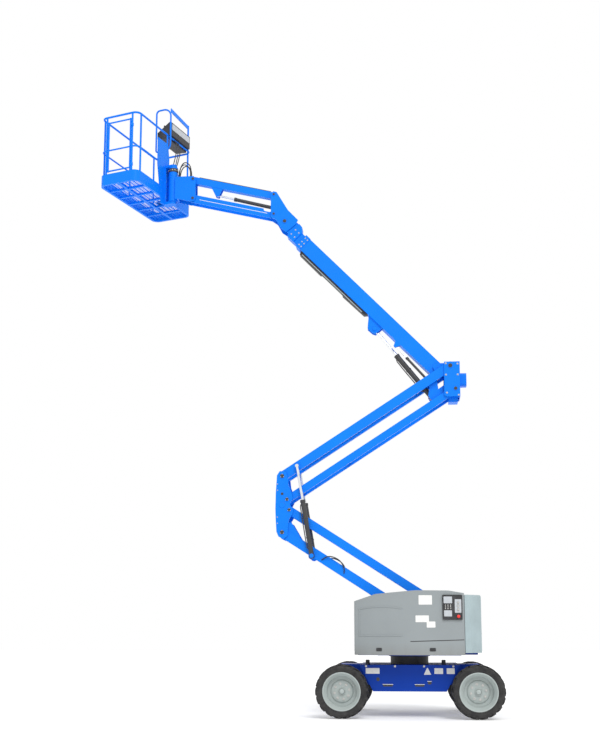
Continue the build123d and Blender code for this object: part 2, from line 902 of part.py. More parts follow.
def make_barrel(base, eye, y, form):
    """Hydraulic barrel: eye, bored tube and a gland that the rod slides in."""
    radius, bore, rod_radius, length, eye_width, pin_radius = form
    eye_radius = radius + 4
    with BuildPart() as barrel:
        with BuildSketch(axis_plane(base, eye, y).offset(radius * 0.8)):
            Circle(radius)
        extrude(amount=length - radius * 0.8)
        with BuildSketch(axis_plane(base, eye, y).offset(length - 40)):
            Circle(radius + 5)
        extrude(amount=40)
        with BuildSketch(side_plane(base, y=y)):
            Circle(eye_radius)
        extrude(amount=eye_width / 2, both=True)
        with BuildSketch(axis_plane(base, eye, y).offset(eye_radius + 25)):
            Circle(bore)
        extrude(amount=length - eye_radius - 25 - 60, mode=Mode.SUBTRACT)
        with BuildSketch(axis_plane(base, eye, y).offset(length - 70)):
            Circle(rod_radius + running_gap)
        extrude(amount=80, mode=Mode.SUBTRACT)
        with BuildSketch(side_plane(base, y=y)):
            Circle(pin_radius + running_gap)
        extrude(amount=eye_width, both=True, mode=Mode.SUBTRACT)
    return barrel.part


def make_rod(base, eye, y, form, rod_length):
    """Chromed rod with the eye at its outer end."""
    radius, bore, rod_radius, length, eye_width, pin_radius = form
    with BuildPart() as rod:
        with BuildSketch(axis_plane(eye, base, y)):
            Circle(rod_radius)
        extrude(amount=rod_length)
        with BuildSketch(side_plane(eye, y=y)):
            Circle(rod_radius * rod_eye_share)
        extrude(amount=eye_width / 2, both=True)
    return rod.part


def make_pair(maker, *arguments):
    """The same cylinder piece on the near and far side."""
    with BuildPart() as pair:
        for side in (-1, 1):
            add(maker(*[side * riser_cylinder_y if item is None else item for item in arguments]))
    return pair.part


def make_main_boom():
    """Outer boom box with a base end, a tighter mouth and lugs under it."""
    height = boom_top - boom_bottom
    middle = (boom_top + boom_bottom) / 2
    with BuildPart() as boom:
        start = side_plane(boom_pin, boom_bearing)
        section = Plane(origin=start.origin, x_dir=(0, 1, 0), z_dir=start.x_dir)
        up = 1 if section.y_dir.dot(start.y_dir) > 0 else -1
        with BuildSketch(section):
            with Locations((0, up * middle)):
                Rectangle(2 * boom_half_width, height)
        extrude(amount=boom_length)
        with BuildSketch(section.offset(extension_inner_end - 150)):
            with Locations((0, up * middle)):
                Rectangle(2 * (boom_half_width - boom_wall), height - 2 * boom_wall)
        extrude(amount=boom_length, mode=Mode.SUBTRACT)
        with BuildSketch(section.offset(boom_length - boom_mouth)):
            with Locations((0, up * middle)):
                Rectangle(2 * boom_half_width + 16, height + 16)
                Rectangle(
                    2 * (boom_half_width - boom_wall - extension_gap + slide_gap),
                    height - 2 * (boom_wall + extension_gap - slide_gap),
                    mode=Mode.SUBTRACT,
                )
        extrude(amount=boom_mouth)
        with BuildSketch(start):
            with BuildLine():
                Polyline(
                    (1, boom_top),
                    (-boom_tail, 55),
                    (-boom_tail, -60),
                    (-30, boom_bottom + 20),
                    (1, boom_bottom),
                    close=True,
                )
            make_face()
        extrude(amount=boom_half_width, both=True)
        for side in (-1, 1):
            with BuildSketch(side_plane(boom_pin, boom_bearing, side * 60)):
                with BuildLine():
                    Polyline(
                        (lift_lug_x - 80, boom_bottom + 5),
                        (lift_lug_x - 70, lift_lug_drop - 45),
                        (lift_lug_x - 20, lift_lug_drop - 70),
                        (lift_lug_x + 90, lift_lug_drop - 76),
                        (lift_lug_x + 240, boom_bottom + 5),
                        close=True,
                    )
                make_face()
            extrude(amount=8, both=True)
            with BuildSketch(side_plane(lift_eye, boom_bearing, side * 74)):
                Circle(34)
            extrude(amount=8, both=True)
        for y in (level_y - level_eye_width / 2 - 12, level_y + level_eye_width / 2 + 11):
            with BuildSketch(side_plane(boom_pin, boom_bearing, y)):
                with BuildLine():
                    Polyline(
                        (level_lug_x - 60, boom_bottom + 5),
                        (level_lug_x - 20, level_lug_drop - 22),
                        (level_lug_x + 20, level_lug_drop - 22),
                        (level_lug_x + 60, boom_bottom + 5),
                        close=True,
                    )
                make_face()
            extrude(amount=3, both=True)
        with BuildSketch(start):
            Circle(arm_pin_radius + running_gap)
        extrude(amount=2 * boom_half_width, both=True, mode=Mode.SUBTRACT)
    return boom.part


def make_hose_carrier():
    """Hose tray under the outer half of the boom."""
    with BuildPart() as carrier:
        with BuildSketch(side_plane(boom_pin, boom_bearing)):
            with BuildLine():
                Polyline(
                    (lift_lug_x + 260, boom_bottom),
                    (lift_lug_x + 300, boom_bottom - 50),
                    (lift_lug_x + 800, boom_bottom - 62),
                    (lift_lug_x + 820, boom_bottom - 34),
                    (lift_lug_x + 1300, boom_bottom - 34),
                    (lift_lug_x + 1330, boom_bottom - 64),
                    (boom_length - 150, boom_bottom - 60),
                    (boom_length - 120, boom_bottom),
                    close=True,
                )
            make_face()
        extrude(amount=58, both=True)
    return carrier.part


def make_extension():
    """Inner boom with the collar and fork that carry the jib mount."""
    inset = boom_wall + extension_gap
    height = boom_top - boom_bottom - 2 * inset
    middle = (boom_top + boom_bottom) / 2
    start = side_plane(boom_pin, boom_bearing)
    section = Plane(origin=start.origin, x_dir=(0, 1, 0), z_dir=start.x_dir)
    up = 1 if section.y_dir.dot(start.y_dir) > 0 else -1
    half = boom_half_width - inset
    with BuildPart() as extension:
        with BuildSketch(section.offset(extension_inner_end)):
            with Locations((0, up * middle)):
                Rectangle(2 * half, height)
                Rectangle(2 * half - 14, height - 14, mode=Mode.SUBTRACT)
        extrude(amount=nose_start + 60 - extension_inner_end)
        with BuildSketch(start):
            with BuildLine():
                Polyline(
                    (nose_start, boom_bottom + inset),
                    (nose_start, boom_top - inset),
                    (nose_start + 70, 150),
                    (nose_start + 148, 160),
                    (nose_start + 148, boom_bottom + inset),
                    close=True,
                )
            make_face()
        extrude(amount=nose_half_width, both=True)
        for side in (-1, 1):
            with BuildSketch(side_plane(boom_pin, boom_bearing, side * (nose_half_width - 12))):
                with BuildLine():
                    Polyline(
                        (nose_start + 100, -100),
                        (nose_start + 100, 150),
                        (nose_pin_x + 60, nose_pin_y + 62),
                        (nose_pin_x + 84, nose_pin_y),
                        (nose_pin_x + 50, nose_pin_y - 70),
                        close=True,
                    )
                make_face()
            extrude(amount=10, both=True)
        with BuildSketch(side_plane(nose_pin)):
            Circle(arm_pin_radius + 14)
        extrude(amount=nose_half_width, both=True)
        with BuildSketch(side_plane(nose_pin)):
            Circle(arm_pin_radius + running_gap)
        extrude(amount=2 * nose_half_width, both=True, mode=Mode.SUBTRACT)
    return extension.part


def make_jib_mount():
    """Levelled bracket at the nose: two plates with the pins of the jib."""
    x, z = nose_pin
    y = jib_mount_inner + jib_mount_plate / 2
    with BuildPart() as mount:
        for side in (-1, 1):
            with BuildSketch(side_plane(nose_pin, y=side * y)):
                with BuildLine():
                    Polyline(
                        (-238, 500),
                        (-195, 540),
                        (-140, 525),
                        (55, 195),
                        (228, 10),
                        (190, -60),
                        (25, -190),
                        (-60, -130),
                        (-140, 20),
                        (-238, 90),
                        close=True,
                    )
                make_face()
            extrude(amount=jib_mount_plate / 2, both=True)
        for point in (jib_upper_pin, jib_lower_pin, jib_base_pin):
            with BuildSketch(side_plane(point)):
                Circle(jib_pin_radius)
            extrude(amount=y, both=True)
        with BuildSketch(side_plane(nose_pin)):
            Circle(arm_pin_radius)
        extrude(amount=y, both=True)
        for point, radius in (
            (jib_upper_pin, jib_pin_radius),
            (jib_lower_pin, jib_pin_radius),
            (nose_pin, arm_pin_radius),
        ):
            for side in (-1, 1):
                with BuildSketch(side_plane(point, y=side * (y + jib_mount_plate / 2 + 3))):
                    Circle(radius + 8)
                extrude(amount=5, both=True)
    return mount.part


def make_jib_arm():
    """Upper jib beam with the lug for the jib cylinder under it."""
    middle = local_point(jib_upper_pin, jib_bearing, jib_length / 2, 0)
    with BuildPart() as arm:
        with BuildSketch(side_plane(middle, jib_bearing)):
            SlotCenterToCenter(jib_length, jib_depth)
        extrude(amount=jib_half_width, both=True)
        for point, reach in ((jib_upper_pin, jib_mount_inner - 5), (jib_upper_tip, jib_tip_inner - 5)):
            with BuildSketch(side_plane(point)):
                Circle(40)
            extrude(amount=reach, both=True)
        for side in (-1, 1):
            with BuildSketch(side_plane(jib_upper_pin, jib_bearing, side * 43)):
                with BuildLine():
                    Polyline(
                        (jib_lug_x - 60, -jib_depth / 2 + 5),
                        (jib_lug_x - 30, jib_lug_drop - 30),
                        (jib_lug_x + 24, jib_lug_drop - 30),
                        (jib_lug_x + 150, -jib_depth / 2 + 5),
                        close=True,
                    )
                make_face()
            extrude(amount=5, both=True)
        for point in (jib_upper_pin, jib_upper_tip):
            with BuildSketch(side_plane(point)):
                Circle(jib_pin_radius + running_gap)
            extrude(amount=200, both=True, mode=Mode.SUBTRACT)
    return arm.part


def make_jib_link():
    """Lower jib link: two bars that keep the tip level."""
    middle = local_point(jib_lower_pin, jib_bearing, jib_length / 2, 0)
    y = (jib_link_inner + jib_link_outer) / 2
    with BuildPart() as link:
        for side in (-1, 1):
            with BuildSketch(side_plane(middle, jib_bearing, side * y)):
                SlotCenterToCenter(jib_length, jib_link_depth)
                with Locations((-jib_length / 2, 0), (jib_length / 2, 0)):
                    Circle(jib_pin_radius + running_gap, mode=Mode.SUBTRACT)
            extrude(amount=(jib_link_outer - jib_link_inner) / 2, both=True)
            relief = local_point(jib_lower_pin, jib_bearing, jib_relief_x, jib_link_depth / 2)
            with BuildSketch(side_plane(relief, jib_bearing, side * y)):
                SlotCenterToCenter(jib_relief_length, 2 * jib_relief_depth)
            extrude(amount=jib_link_outer, both=True, mode=Mode.SUBTRACT)
        spot = local_point(jib_lower_pin, jib_bearing, jib_length - 72, 0)
        with BuildSketch(side_plane(spot)):
            Circle(24)
        extrude(amount=y, both=True)
    return link.part


def make_jib_tip():
    """Level bracket at the jib's end with the upright housing of the platform rotator."""
    y = jib_tip_inner + jib_tip_plate / 2
    housing_edge = rotator_x + rotator_radius
    with BuildPart() as tip:
        for side in (-1, 1):
            with BuildSketch(side_plane(y=side * y)):
                with BuildLine():
                    Polyline(
                        (jib_upper_tip[0] + 45, jib_upper_tip[1] + 10),
                        (jib_upper_tip[0] + 10, jib_upper_tip[1] + 50),
                        (housing_edge - 20, jib_upper_tip[1] + 50),
                        (housing_edge - 20, jib_lower_tip[1] + 10),
                        (jib_lower_tip[0] - 60, jib_lower_tip[1] - 55),
                        (jib_lower_tip[0] + 30, jib_lower_tip[1] - 50),
                        (jib_lower_tip[0] + 50, jib_lower_tip[1]),
                        close=True,
                    )
                make_face()
            extrude(amount=jib_tip_plate / 2, both=True)
            for point in (jib_upper_tip, jib_lower_tip):
                with BuildSketch(side_plane(point, y=side * (y + jib_tip_plate / 2 + 3))):
                    Circle(jib_pin_radius + 8)
                extrude(amount=5, both=True)
        for point in (jib_upper_tip, jib_lower_tip):
            with BuildSketch(side_plane(point)):
                Circle(jib_pin_radius)
            extrude(amount=y, both=True)
        web_height = jib_upper_tip[1] - jib_lower_tip[1] + 20
        with Locations((housing_edge, 0, (jib_upper_tip[1] + jib_lower_tip[1]) / 2 + 20)):
            Box(70, 2 * jib_tip_inner + 4, web_height)
        with BuildSketch(Plane.XY.offset(rotator_bottom)):
            with Locations((rotator_x, 0)):
                Circle(rotator_radius)
        extrude(amount=rotator_top - rotator_bottom)
        with BuildSketch(Plane.XY.offset(rotator_bottom - 45)):
            with Locations((rotator_x, 0)):
                Circle(rotator_shaft_radius)
        extrude(amount=rotator_top - rotator_bottom + 90)
    return tip.part


def make_platform_post():
    """Upright that hangs the platform on the rotator's shaft by two arms."""
    base = rotator_bottom - 45 - platform_floor_z
    with BuildPart() as post:
        with BuildSketch(Plane(origin=(-platform_offset, 0, 0), x_dir=(0, 1, 0), z_dir=(1, 0, 0))):
            with BuildLine():
                Polyline(
                    (-160, base),
                    (90, base),
                    (90, rail_height - 480),
                    (40, rail_height - 220),
                    (-290, rail_height - 220),
                    (-290, rail_height - 700),
                    close=True,
                )
            make_face()
        extrude(amount=14)
        for y in (-60, 60):
            with Locations((-platform_offset + 28, y, base + 330)):
                Box(32, 14, 660)
        for low in (rotator_bottom - 45, rotator_top + 1):
            with BuildSketch(Plane.XY.offset(low - platform_floor_z)):
                Circle(64)
                with Locations((-platform_offset / 2, 0)):
                    Rectangle(platform_offset - 4, 128)
                Circle(rotator_shaft_radius + running_gap, mode=Mode.SUBTRACT)
            extrude(amount=44)
    return platform_frame.location * post.part


def make_platform_floor():
    """Floor frame with joists, slats and a toe board all round."""
    with BuildPart() as floor:
        with BuildSketch():
            with Locations((platform_middle, 0)):
                RectangleRounded(platform_depth, platform_length, corner_radius)
                offset(amount=-floor_frame, mode=Mode.SUBTRACT)
        extrude(amount=floor_frame)
        for y in (-600, -300, 0, 300, 600):
            with Locations((platform_middle, y, 20)):
                Box(platform_depth - 40, 34, 36)
        with Locations((platform_middle, 0, 20)):
            Box(44, platform_length - 60, 38)
        for index in range(9):
            x = platform_middle + (index - 4) * 76
            with Locations((x, 0, 40)):
                Box(10, platform_length - 70, 10)
        with BuildSketch(Plane.XY.offset(38)):
            with Locations((platform_middle, 0)):
                RectangleRounded(platform_depth, platform_length, corner_radius)
                offset(amount=-toe_wall, mode=Mode.SUBTRACT)
        extrude(amount=toe_height)
    return platform_frame.location * floor.part


def rail_tube(corners, radius, bend):
    """Bent round tube through a list of corners."""
    with BuildPart() as tube:
        with BuildLine() as path:
            FilletPolyline(*corners, radius=bend)
        with BuildSketch(Plane(origin=path.line @ 0, z_dir=path.line % 0)):
            Circle(radius)
        sweep()
    return tube.part


def make_platform_rails():
    """Guard rails: top and middle rail, posts and the raised guard round the controls."""
    inset = rail_inset
    half_y = platform_length / 2 - inset
    near = platform_middle + platform_depth / 2 - inset
    far = platform_middle - platform_depth / 2 + inset
    bend = corner_radius - inset
    top = rail_height - rail_radius
    middle = rail_height / 2
    outer = near + guard_out
    inner = outer - guard_depth
    ring = [
        (near, guard_start),
        (near, -half_y),
        (far, -half_y),
        (far, half_y),
        (near, half_y),
        (near, guard_start + 60),
    ]
    below_gate = [(near, guard_start), (near, -half_y), (near - bend - 10, -half_y)]
    round_rear = [
        (far + bend + 10, -half_y),
        (far, -half_y),
        (far, half_y),
        (near, half_y),
        (near, guard_start + 60),
    ]
    posts = [
        (near, guard_start),
        (near, -half_y + bend),
        (far, -half_y + bend),
        (far, 0),
        (far, half_y - bend),
    ]
    with BuildPart() as rails:
        add(rail_tube([(x, y, top) for x, y in ring], rail_radius, bend))
        add(rail_tube([(x, y, middle) for x, y in below_gate], rail_radius - 3, bend))
        add(rail_tube([(x, y, middle) for x, y in round_rear], rail_radius - 3, bend))
        for x, y in posts:
            with Locations((x, y, (floor_frame + top) / 2)):
                Cylinder(post_radius, top - floor_frame)
        for x in (near - bend - 10, far + bend + 10):
            with Locations((x, -half_y, (floor_frame + top) / 2)):
                Cylinder(post_radius, top - floor_frame)
        with Locations((near, half_y - bend, (floor_frame + guard_height) / 2)):
            Cylinder(post_radius, guard_height - floor_frame)
        hoop = [
            (near, guard_start, rail_height - 300),
            (outer, guard_start, rail_height - 240),
            (outer, guard_start, guard_height),
            (inner, guard_start, guard_height),
            (inner, guard_start, rail_height - 300),
            (near, guard_start, rail_height - 300),
        ]
        add(rail_tube(hoop, rail_radius - 2, (30, guard_depth / 2 - 1, guard_depth / 2 - 1, 60, 30)))
        run = Vector(near - outer, half_y - bend - guard_start, 0)
        middle_spot = ((outer + near) / 2, (guard_start + half_y - bend) / 2, guard_height - 35)
        with Locations(Plane(origin=middle_spot, x_dir=run, z_dir=(0, 0, 1))):
            Box(run.length, 14, 70)
    return platform_frame.location * rails.part


def make_control_box():
    """Platform control console with a sloping face, carried on the rail and the post."""
    near = -platform_offset - rail_inset
    seat = near - rail_radius - seat_gap
    with BuildPart() as box:
        with BuildSketch(Plane(origin=(0, guard_start + 40, 0), x_dir=(1, 0, 0), z_dir=(0, -1, 0))):
            with BuildLine():
                Polyline(
                    (near + 55, rail_height + seat_gap),
                    (near + 55, rail_height + 230),
                    (near + 10, rail_height + 245),
                    (near - 230, rail_height + 80),
                    (near - 230, rail_height - 40),
                    (seat, rail_height - 60),
                    (seat, rail_height + seat_gap),
                    close=True,
                )
            make_face()
        extrude(amount=-(platform_length / 2 - corner_radius - guard_start - 70))
    return platform_frame.location * box.part


def make_gate():
    """Entry gate in the short side next to the post: two bars between uprights."""
    inset = rail_inset
    y = -(platform_length / 2 - inset)
    bend = corner_radius - inset
    near = platform_middle + platform_depth / 2 - inset - bend - 10
    far = platform_middle - platform_depth / 2 + inset + bend + 10
    bar = rail_radius - 3
    hinge_side = near - post_radius - bar - gate_gap
    latch_side = far + post_radius + bar + gate_gap
    with BuildPart() as gate:
        for x in (hinge_side, latch_side):
            with Locations((x, y, (gate_low + gate_high) / 2)):
                Cylinder(bar, gate_high - gate_low)
        for z in (gate_low + 70, gate_high - 120):
            with Locations((near, y, z)):
                Cylinder(post_radius + 7, 50)
                Cylinder(post_radius + running_gap, 50, mode=Mode.SUBTRACT)
            with Locations(((hinge_side + near - post_radius) / 2 - 2, y, z)):
                Box(near - post_radius - hinge_side - 1, 16, 30)
        for z in (gate_low + bar, rail_height / 2, gate_high - bar):
            with Locations(((hinge_side + latch_side) / 2, y, z)):
                Cylinder(bar - 1, hinge_side - latch_side, rotation=(0, 90, 0))
    return platform_frame.location * gate.part


os.makedirs("parts", exist_ok=True)
save(make_chassis_frame(), "chassis_frame")
save(make_slew_ring(), "slew_ring")
save(make_deck_bumpers(), "deck_bumpers")
save(make_drive_axle(), "drive_axle")
save(make_steer_axle(), "steer_axle")
save(make_knuckle(-1), "knuckle_near")
save(make_knuckle(1), "knuckle_far")
save(make_steering_rod(), "steering_rod")
tyre = make_tyre()
rim = make_rim()
for end, end_name in ((-1, "drive"), (1, "steer")):
    for side, side_name in ((-1, "near"), (1, "far")):
        place = Pos(end * wheel_base / 2, side * wheel_track / 2, axle_height)
        facing = Rot(0, 0, 0 if side > 0 else 180)
        save(place * facing * tyre, f"tyre_{end_name}_{side_name}")
        save(place * facing * rim, f"rim_{end_name}_{side_name}")
save(make_turntable_frame(), "turntable_frame")
save(make_counterweight(), "counterweight")
save(make_engine_block(), "engine_block")
save(make_cover(-1), "cover_near")
save(make_cover(1), "cover_far")
save(make_ground_panel(), "ground_panel")
save(make_lower_arm(), "lower_arm")
save(make_riser_pins(), "riser_pins")
lower_tubes = [riser_length * part for part in (0.21, 0.52, 0.82)]
save(make_link(lower_link_top, -riser_angle, link_depth, lower_tubes), "lower_link")
save(make_mid_link(), "mid_link")
save(make_upper_arm(), "upper_arm")
upper_tubes = [riser_length * part for part in (0.09, 0.37)]
save(make_link(upper_link_low, riser_angle, upper_link_depth, upper_tubes), "upper_link")
save(make_upper_pivot(), "upper_pivot")
save(make_pair(make_barrel, riser_base_pin, riser_eye_pin, None, riser_cylinder), "riser_barrels")
save(make_pair(make_rod, riser_base_pin, riser_eye_pin, None, riser_cylinder, riser_rod_length), "riser_rods")
save(make_main_boom(), "main_boom")
save(make_hose_carrier(), "hose_carrier")
save(make_barrel(lift_base, lift_eye, 0, lift_cylinder), "lift_barrel")
save(make_rod(lift_base, lift_eye, 0, lift_cylinder, lift_rod_length), "lift_rod")
save(make_barrel(level_base, level_eye, level_y, level_cylinder), "level_barrel")
save(make_rod(level_base, level_eye, level_y, level_cylinder, level_rod_length), "level_rod")
save(make_extension(), "extension_boom")
save(make_jib_mount(), "jib_mount")
save(make_jib_arm(), "jib_arm")
save(make_jib_link(), "jib_link")
save(make_barrel(jib_base_pin, jib_eye, 0, jib_cylinder), "jib_barrel")
save(make_rod(jib_base_pin, jib_eye, 0, jib_cylinder, jib_rod_length), "jib_rod")
save(make_jib_tip(), "jib_tip")
save(make_platform_post(), "platform_post")
save(make_platform_floor(), "platform_floor")
save(make_platform_rails(), "platform_rails")
save(make_control_box(), "control_box")
save(make_gate(), "platform_gate")
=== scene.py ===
import math

import bmesh
import bpy
from bpy.props import FloatProperty, FloatVectorProperty, IntProperty, PointerProperty
from mathutils import Matrix, Vector


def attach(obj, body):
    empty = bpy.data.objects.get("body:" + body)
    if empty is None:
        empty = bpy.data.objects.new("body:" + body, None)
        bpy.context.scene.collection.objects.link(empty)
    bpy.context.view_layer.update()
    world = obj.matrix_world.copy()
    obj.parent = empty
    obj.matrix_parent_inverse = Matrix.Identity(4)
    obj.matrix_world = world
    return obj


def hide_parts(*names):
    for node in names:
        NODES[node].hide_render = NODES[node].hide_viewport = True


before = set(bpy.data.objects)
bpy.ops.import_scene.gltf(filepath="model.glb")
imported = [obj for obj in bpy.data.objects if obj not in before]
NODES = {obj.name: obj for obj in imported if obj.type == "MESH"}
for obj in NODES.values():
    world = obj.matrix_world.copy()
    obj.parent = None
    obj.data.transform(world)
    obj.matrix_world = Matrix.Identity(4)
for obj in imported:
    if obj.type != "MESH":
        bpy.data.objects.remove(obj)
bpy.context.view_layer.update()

bl_info = {
    "name": "Articulating boom lift",
    "version": (1, 0, 0),
    "blender": (4, 5, 0),
    "location": "View3D > Sidebar > Boom lift",
    "description": "Finishes and small pieces of an articulating boom lift",
    "category": "Object",
}

# Places in metres, as in the construction
WHEEL_X = 1.015
WHEEL_Y = 0.98
WHEEL_Z = 0.4
LOWER_ARM_BASE = (0.7326, 1.0945)
LOWER_ARM_TOP = (-2.018, 2.874)
UPPER_ARM_LOW = (-2.018, 3.792)
UPPER_ARM_TOP = (0.7326, 5.5714)
LOWER_LINK_TOP = (-1.903, 3.237)
UPPER_LINK_LOW = (-1.938, 3.41)
UPPER_LINK_TOP = (0.8126, 5.1894)
RISER_ANGLE = 32.9
RISER_BASE_PIN = (-1.5339, 2.4882)
RISER_EYE_PIN = (-1.7728, 3.9506)
BOOM_PIN = (0.514, 5.57)
BOOM_BEARING = 180 - 45.8
LIFT_BASE = (0.43, 5.09)
LIFT_EYE = (-0.4947, 6.263)
NOSE_PIN = (-1.9982, 8.1778)
JIB_UPPER_PIN = (-2.1852, 8.6638)
JIB_LOWER_PIN = (-2.1852, 8.3148)
JIB_BEARING = 180 - 13.8
JIB_UPPER_TIP = (-3.5934, 9.0097)
JIB_LOWER_TIP = (-3.5934, 8.6607)
ROTATOR_X = -3.96
PLATFORM_TURN = 18
PLATFORM_Z = 8.73
PLATFORM_MIDDLE = -0.535
PLATFORM_DEPTH = 0.76
PLATFORM_LENGTH = 1.83
RAIL_HEIGHT = 1.23
RAIL_X = -0.1775
COVER_BOTTOM = 0.94
# Height over which the cover's colour darkens towards its lower edge
DARKENING_HEIGHT = 0.18
CHASSIS_FACE = 0.7505
ROTATOR_BAND = 9.2
WHEELS = (("drive_near", -1, -1), ("drive_far", -1, 1), ("steer_near", 1, -1), ("steer_far", 1, 1))


# Shapes

def side_frame(point, angle=0.0, y=0.0):
    """Axes of a member seen from the side: X along it, Y above it and Z across the machine."""
    along = Vector((math.cos(math.radians(angle)), 0, math.sin(math.radians(angle))))
    across = Vector((0, -1, 0)) if along.x >= 0 else Vector((0, 1, 0))
    above = across.cross(along)
    place = Matrix((along, above, across)).transposed().to_4x4()
    place.translation = Vector((point[0], y, point[1]))
    return place


def facing_frame(origin, outward, up=(0, 0, 1)):
    """Axes on a surface: Z points outwards, Y upwards and X along it."""
    z = Vector(outward).normalized()
    x = Vector(up).cross(z).normalized()
    y = z.cross(x)
    place = Matrix((x, y, z)).transposed().to_4x4()
    place.translation = Vector(origin)
    return place


def beside(point, side, y):
    """Place on one side of the machine, facing outwards, at a point seen from the side."""
    return facing_frame((point[0], side * y, point[1]), (0, side, 0))


def bearing(start, end):
    """Angle in degrees from one point to another, seen from the side."""
    return math.degrees(math.atan2(end[1] - start[1], end[0] - start[0]))


def side_spots(points, y):
    """Points on both sides of the machine with the way that they face."""
    return [(Vector((x, side * y, z)), (0, side, 0)) for side in (-1, 1) for x, z in points]


def ring_profile(inner, outer, half):
    return [(inner, -half), (outer, -half), (outer, half), (inner, half), (inner, -half)]


def cap_profile(radius):
    return [(radius - 0.006, -0.001), (radius - 0.006, 0.001), (radius - 0.012, 0.0015), (0, 0.0015)]


def platform_place():
    turn = Matrix.Rotation(math.radians(-PLATFORM_TURN), 4, "Z")
    return Matrix.Translation((ROTATOR_X, 0, PLATFORM_Z)) @ turn


def add_box(bm, place, low, high):
    xs, ys, zs = zip(low, high)
    verts = [bm.verts.new(place @ Vector((x, y, z))) for z in zs for y in ys for x in xs]
    for face in ((0, 2, 3, 1), (4, 5, 7, 6), (0, 1, 5, 4), (1, 3, 7, 5), (3, 2, 6, 7), (2, 0, 4, 6)):
        bm.faces.new([verts[index] for index in face])


def add_prism(bm, place, outline, low, high):
    """Flat outline made thick along the frame's Z."""
    bottom = [bm.verts.new(place @ Vector((x, y, low))) for x, y in outline]
    top = [bm.verts.new(place @ Vector((x, y, high))) for x, y in outline]
    count = len(outline)
    bm.faces.new(list(reversed(bottom)))
    bm.faces.new(top)
    for index in range(count):
        following = (index + 1) % count
        bm.faces.new((bottom[index], bottom[following], top[following], top[index]))


def add_lathe(bm, place, profile, segments=48):
    """Profile of radius and height turned about the frame's Z. A radius of 0 closes it at the pole."""
    rings = []
    for radius, height in profile:
        if radius == 0:
            rings.append([bm.verts.new(place @ Vector((0, 0, height)))])
            continue
        ring = []
        for index in range(segments):
            turn = 2 * math.pi * index / segments
            spot = Vector((radius * math.cos(turn), radius * math.sin(turn), height))
            ring.append(bm.verts.new(place @ spot))
        rings.append(ring)
    for lower, upper in zip(rings, rings[1:]):
        for index in range(segments):
            following = (index + 1) % segments
            corners = []
            for corner in (
                lower[index % len(lower)],
                lower[following % len(lower)],
                upper[following % len(upper)],
                upper[index % len(upper)],
            ):
                if corner not in corners:
                    corners.append(corner)
            if len(corners) > 2:
                bm.faces.new(corners)


def rounded(width, height, radius, steps=6):
    """Outline of a rectangle with round corners."""
    outline = []
    for cx, cy, start in ((1, 1, 0), (-1, 1, 90), (-1, -1, 180), (1, -1, 270)):
        for step in range(steps + 1):
            turn = math.radians(start + 90 * step / steps)
            x = cx * (width / 2 - radius) + radius * math.cos(turn)
            y = cy * (height / 2 - radius) + radius * math.sin(turn)
            outline.append((x, y))
    return outline


def add_tube(bm, points, radius, sides=10, smooth=2):
    """Round tube through points, with its corners eased."""
    line = [Vector(point) for point in points]
    for _ in range(smooth):
        eased = [line[0]]
        for first, second in zip(line, line[1:]):
            eased += [first.lerp(second, 0.25), first.lerp(second, 0.75)]
        eased.append(line[-1])
        line = eased
    rings = []
    side = None
    for index, spot in enumerate(line):
        before = line[max(index - 1, 0)]
        after = line[min(index + 1, len(line) - 1)]
        ahead = (after - before).normalized()
        if side is None:
            side = ahead.orthogonal().normalized()
        side = (side - ahead * side.dot(ahead)).normalized()
        other = ahead.cross(side)
        ring = []
        for step in range(sides):
            turn = 2 * math.pi * step / sides
            ring.append(bm.verts.new(spot + radius * (math.cos(turn) * side + math.sin(turn) * other)))
        rings.append(ring)
    for lower, upper in zip(rings, rings[1:]):
        for step in range(sides):
            following = (step + 1) % sides
            bm.faces.new((lower[step], lower[following], upper[following], upper[step]))
    bm.faces.new(list(reversed(rings[0])))
    bm.faces.new(rings[-1])


def show(name, mesh):
    """Object of a mesh, put in the scene."""
    made = bpy.data.objects.new(name, mesh)
    bpy.context.scene.collection.objects.link(made)
    return made


def ride_on(piece, body):
    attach(piece, body)
    return piece


def finish_piece(bm, name, finish, body, bevel=0.0, smooth=True):
    """Makes the mesh an object that rides on a body."""
    bmesh.ops.recalc_face_normals(bm, faces=bm.faces)
    mesh = bpy.data.meshes.new(name)
    bm.to_mesh(mesh)
    bm.free()
    piece = show(name, mesh)
    mesh.materials.append(FINISHES[finish])
    if smooth:
        for polygon in mesh.polygons:
            polygon.use_smooth = True
        mesh.set_sharp_from_angle(angle=math.radians(38))
    if bevel:
        edge = piece.modifiers.new("edge", "BEVEL")
        edge.width = bevel
        edge.segments = 2
        edge.limit_method = "ANGLE"
        edge.angle_limit = math.radians(40)
        edge.harden_normals = False
    return ride_on(piece, body)


# Finishes

def add_node(tree, kind, links=(), values=(), **settings):
    """New node with its settings made and its inputs joined or set."""
    made = tree.nodes.new(kind)
    for key, value in settings.items():
        setattr(made, key, value)
    for key, value in dict(values).items():
        made.inputs[key].default_value = value
    for key, output in dict(links).items():
        tree.links.new(output, made.inputs[key])
    return made


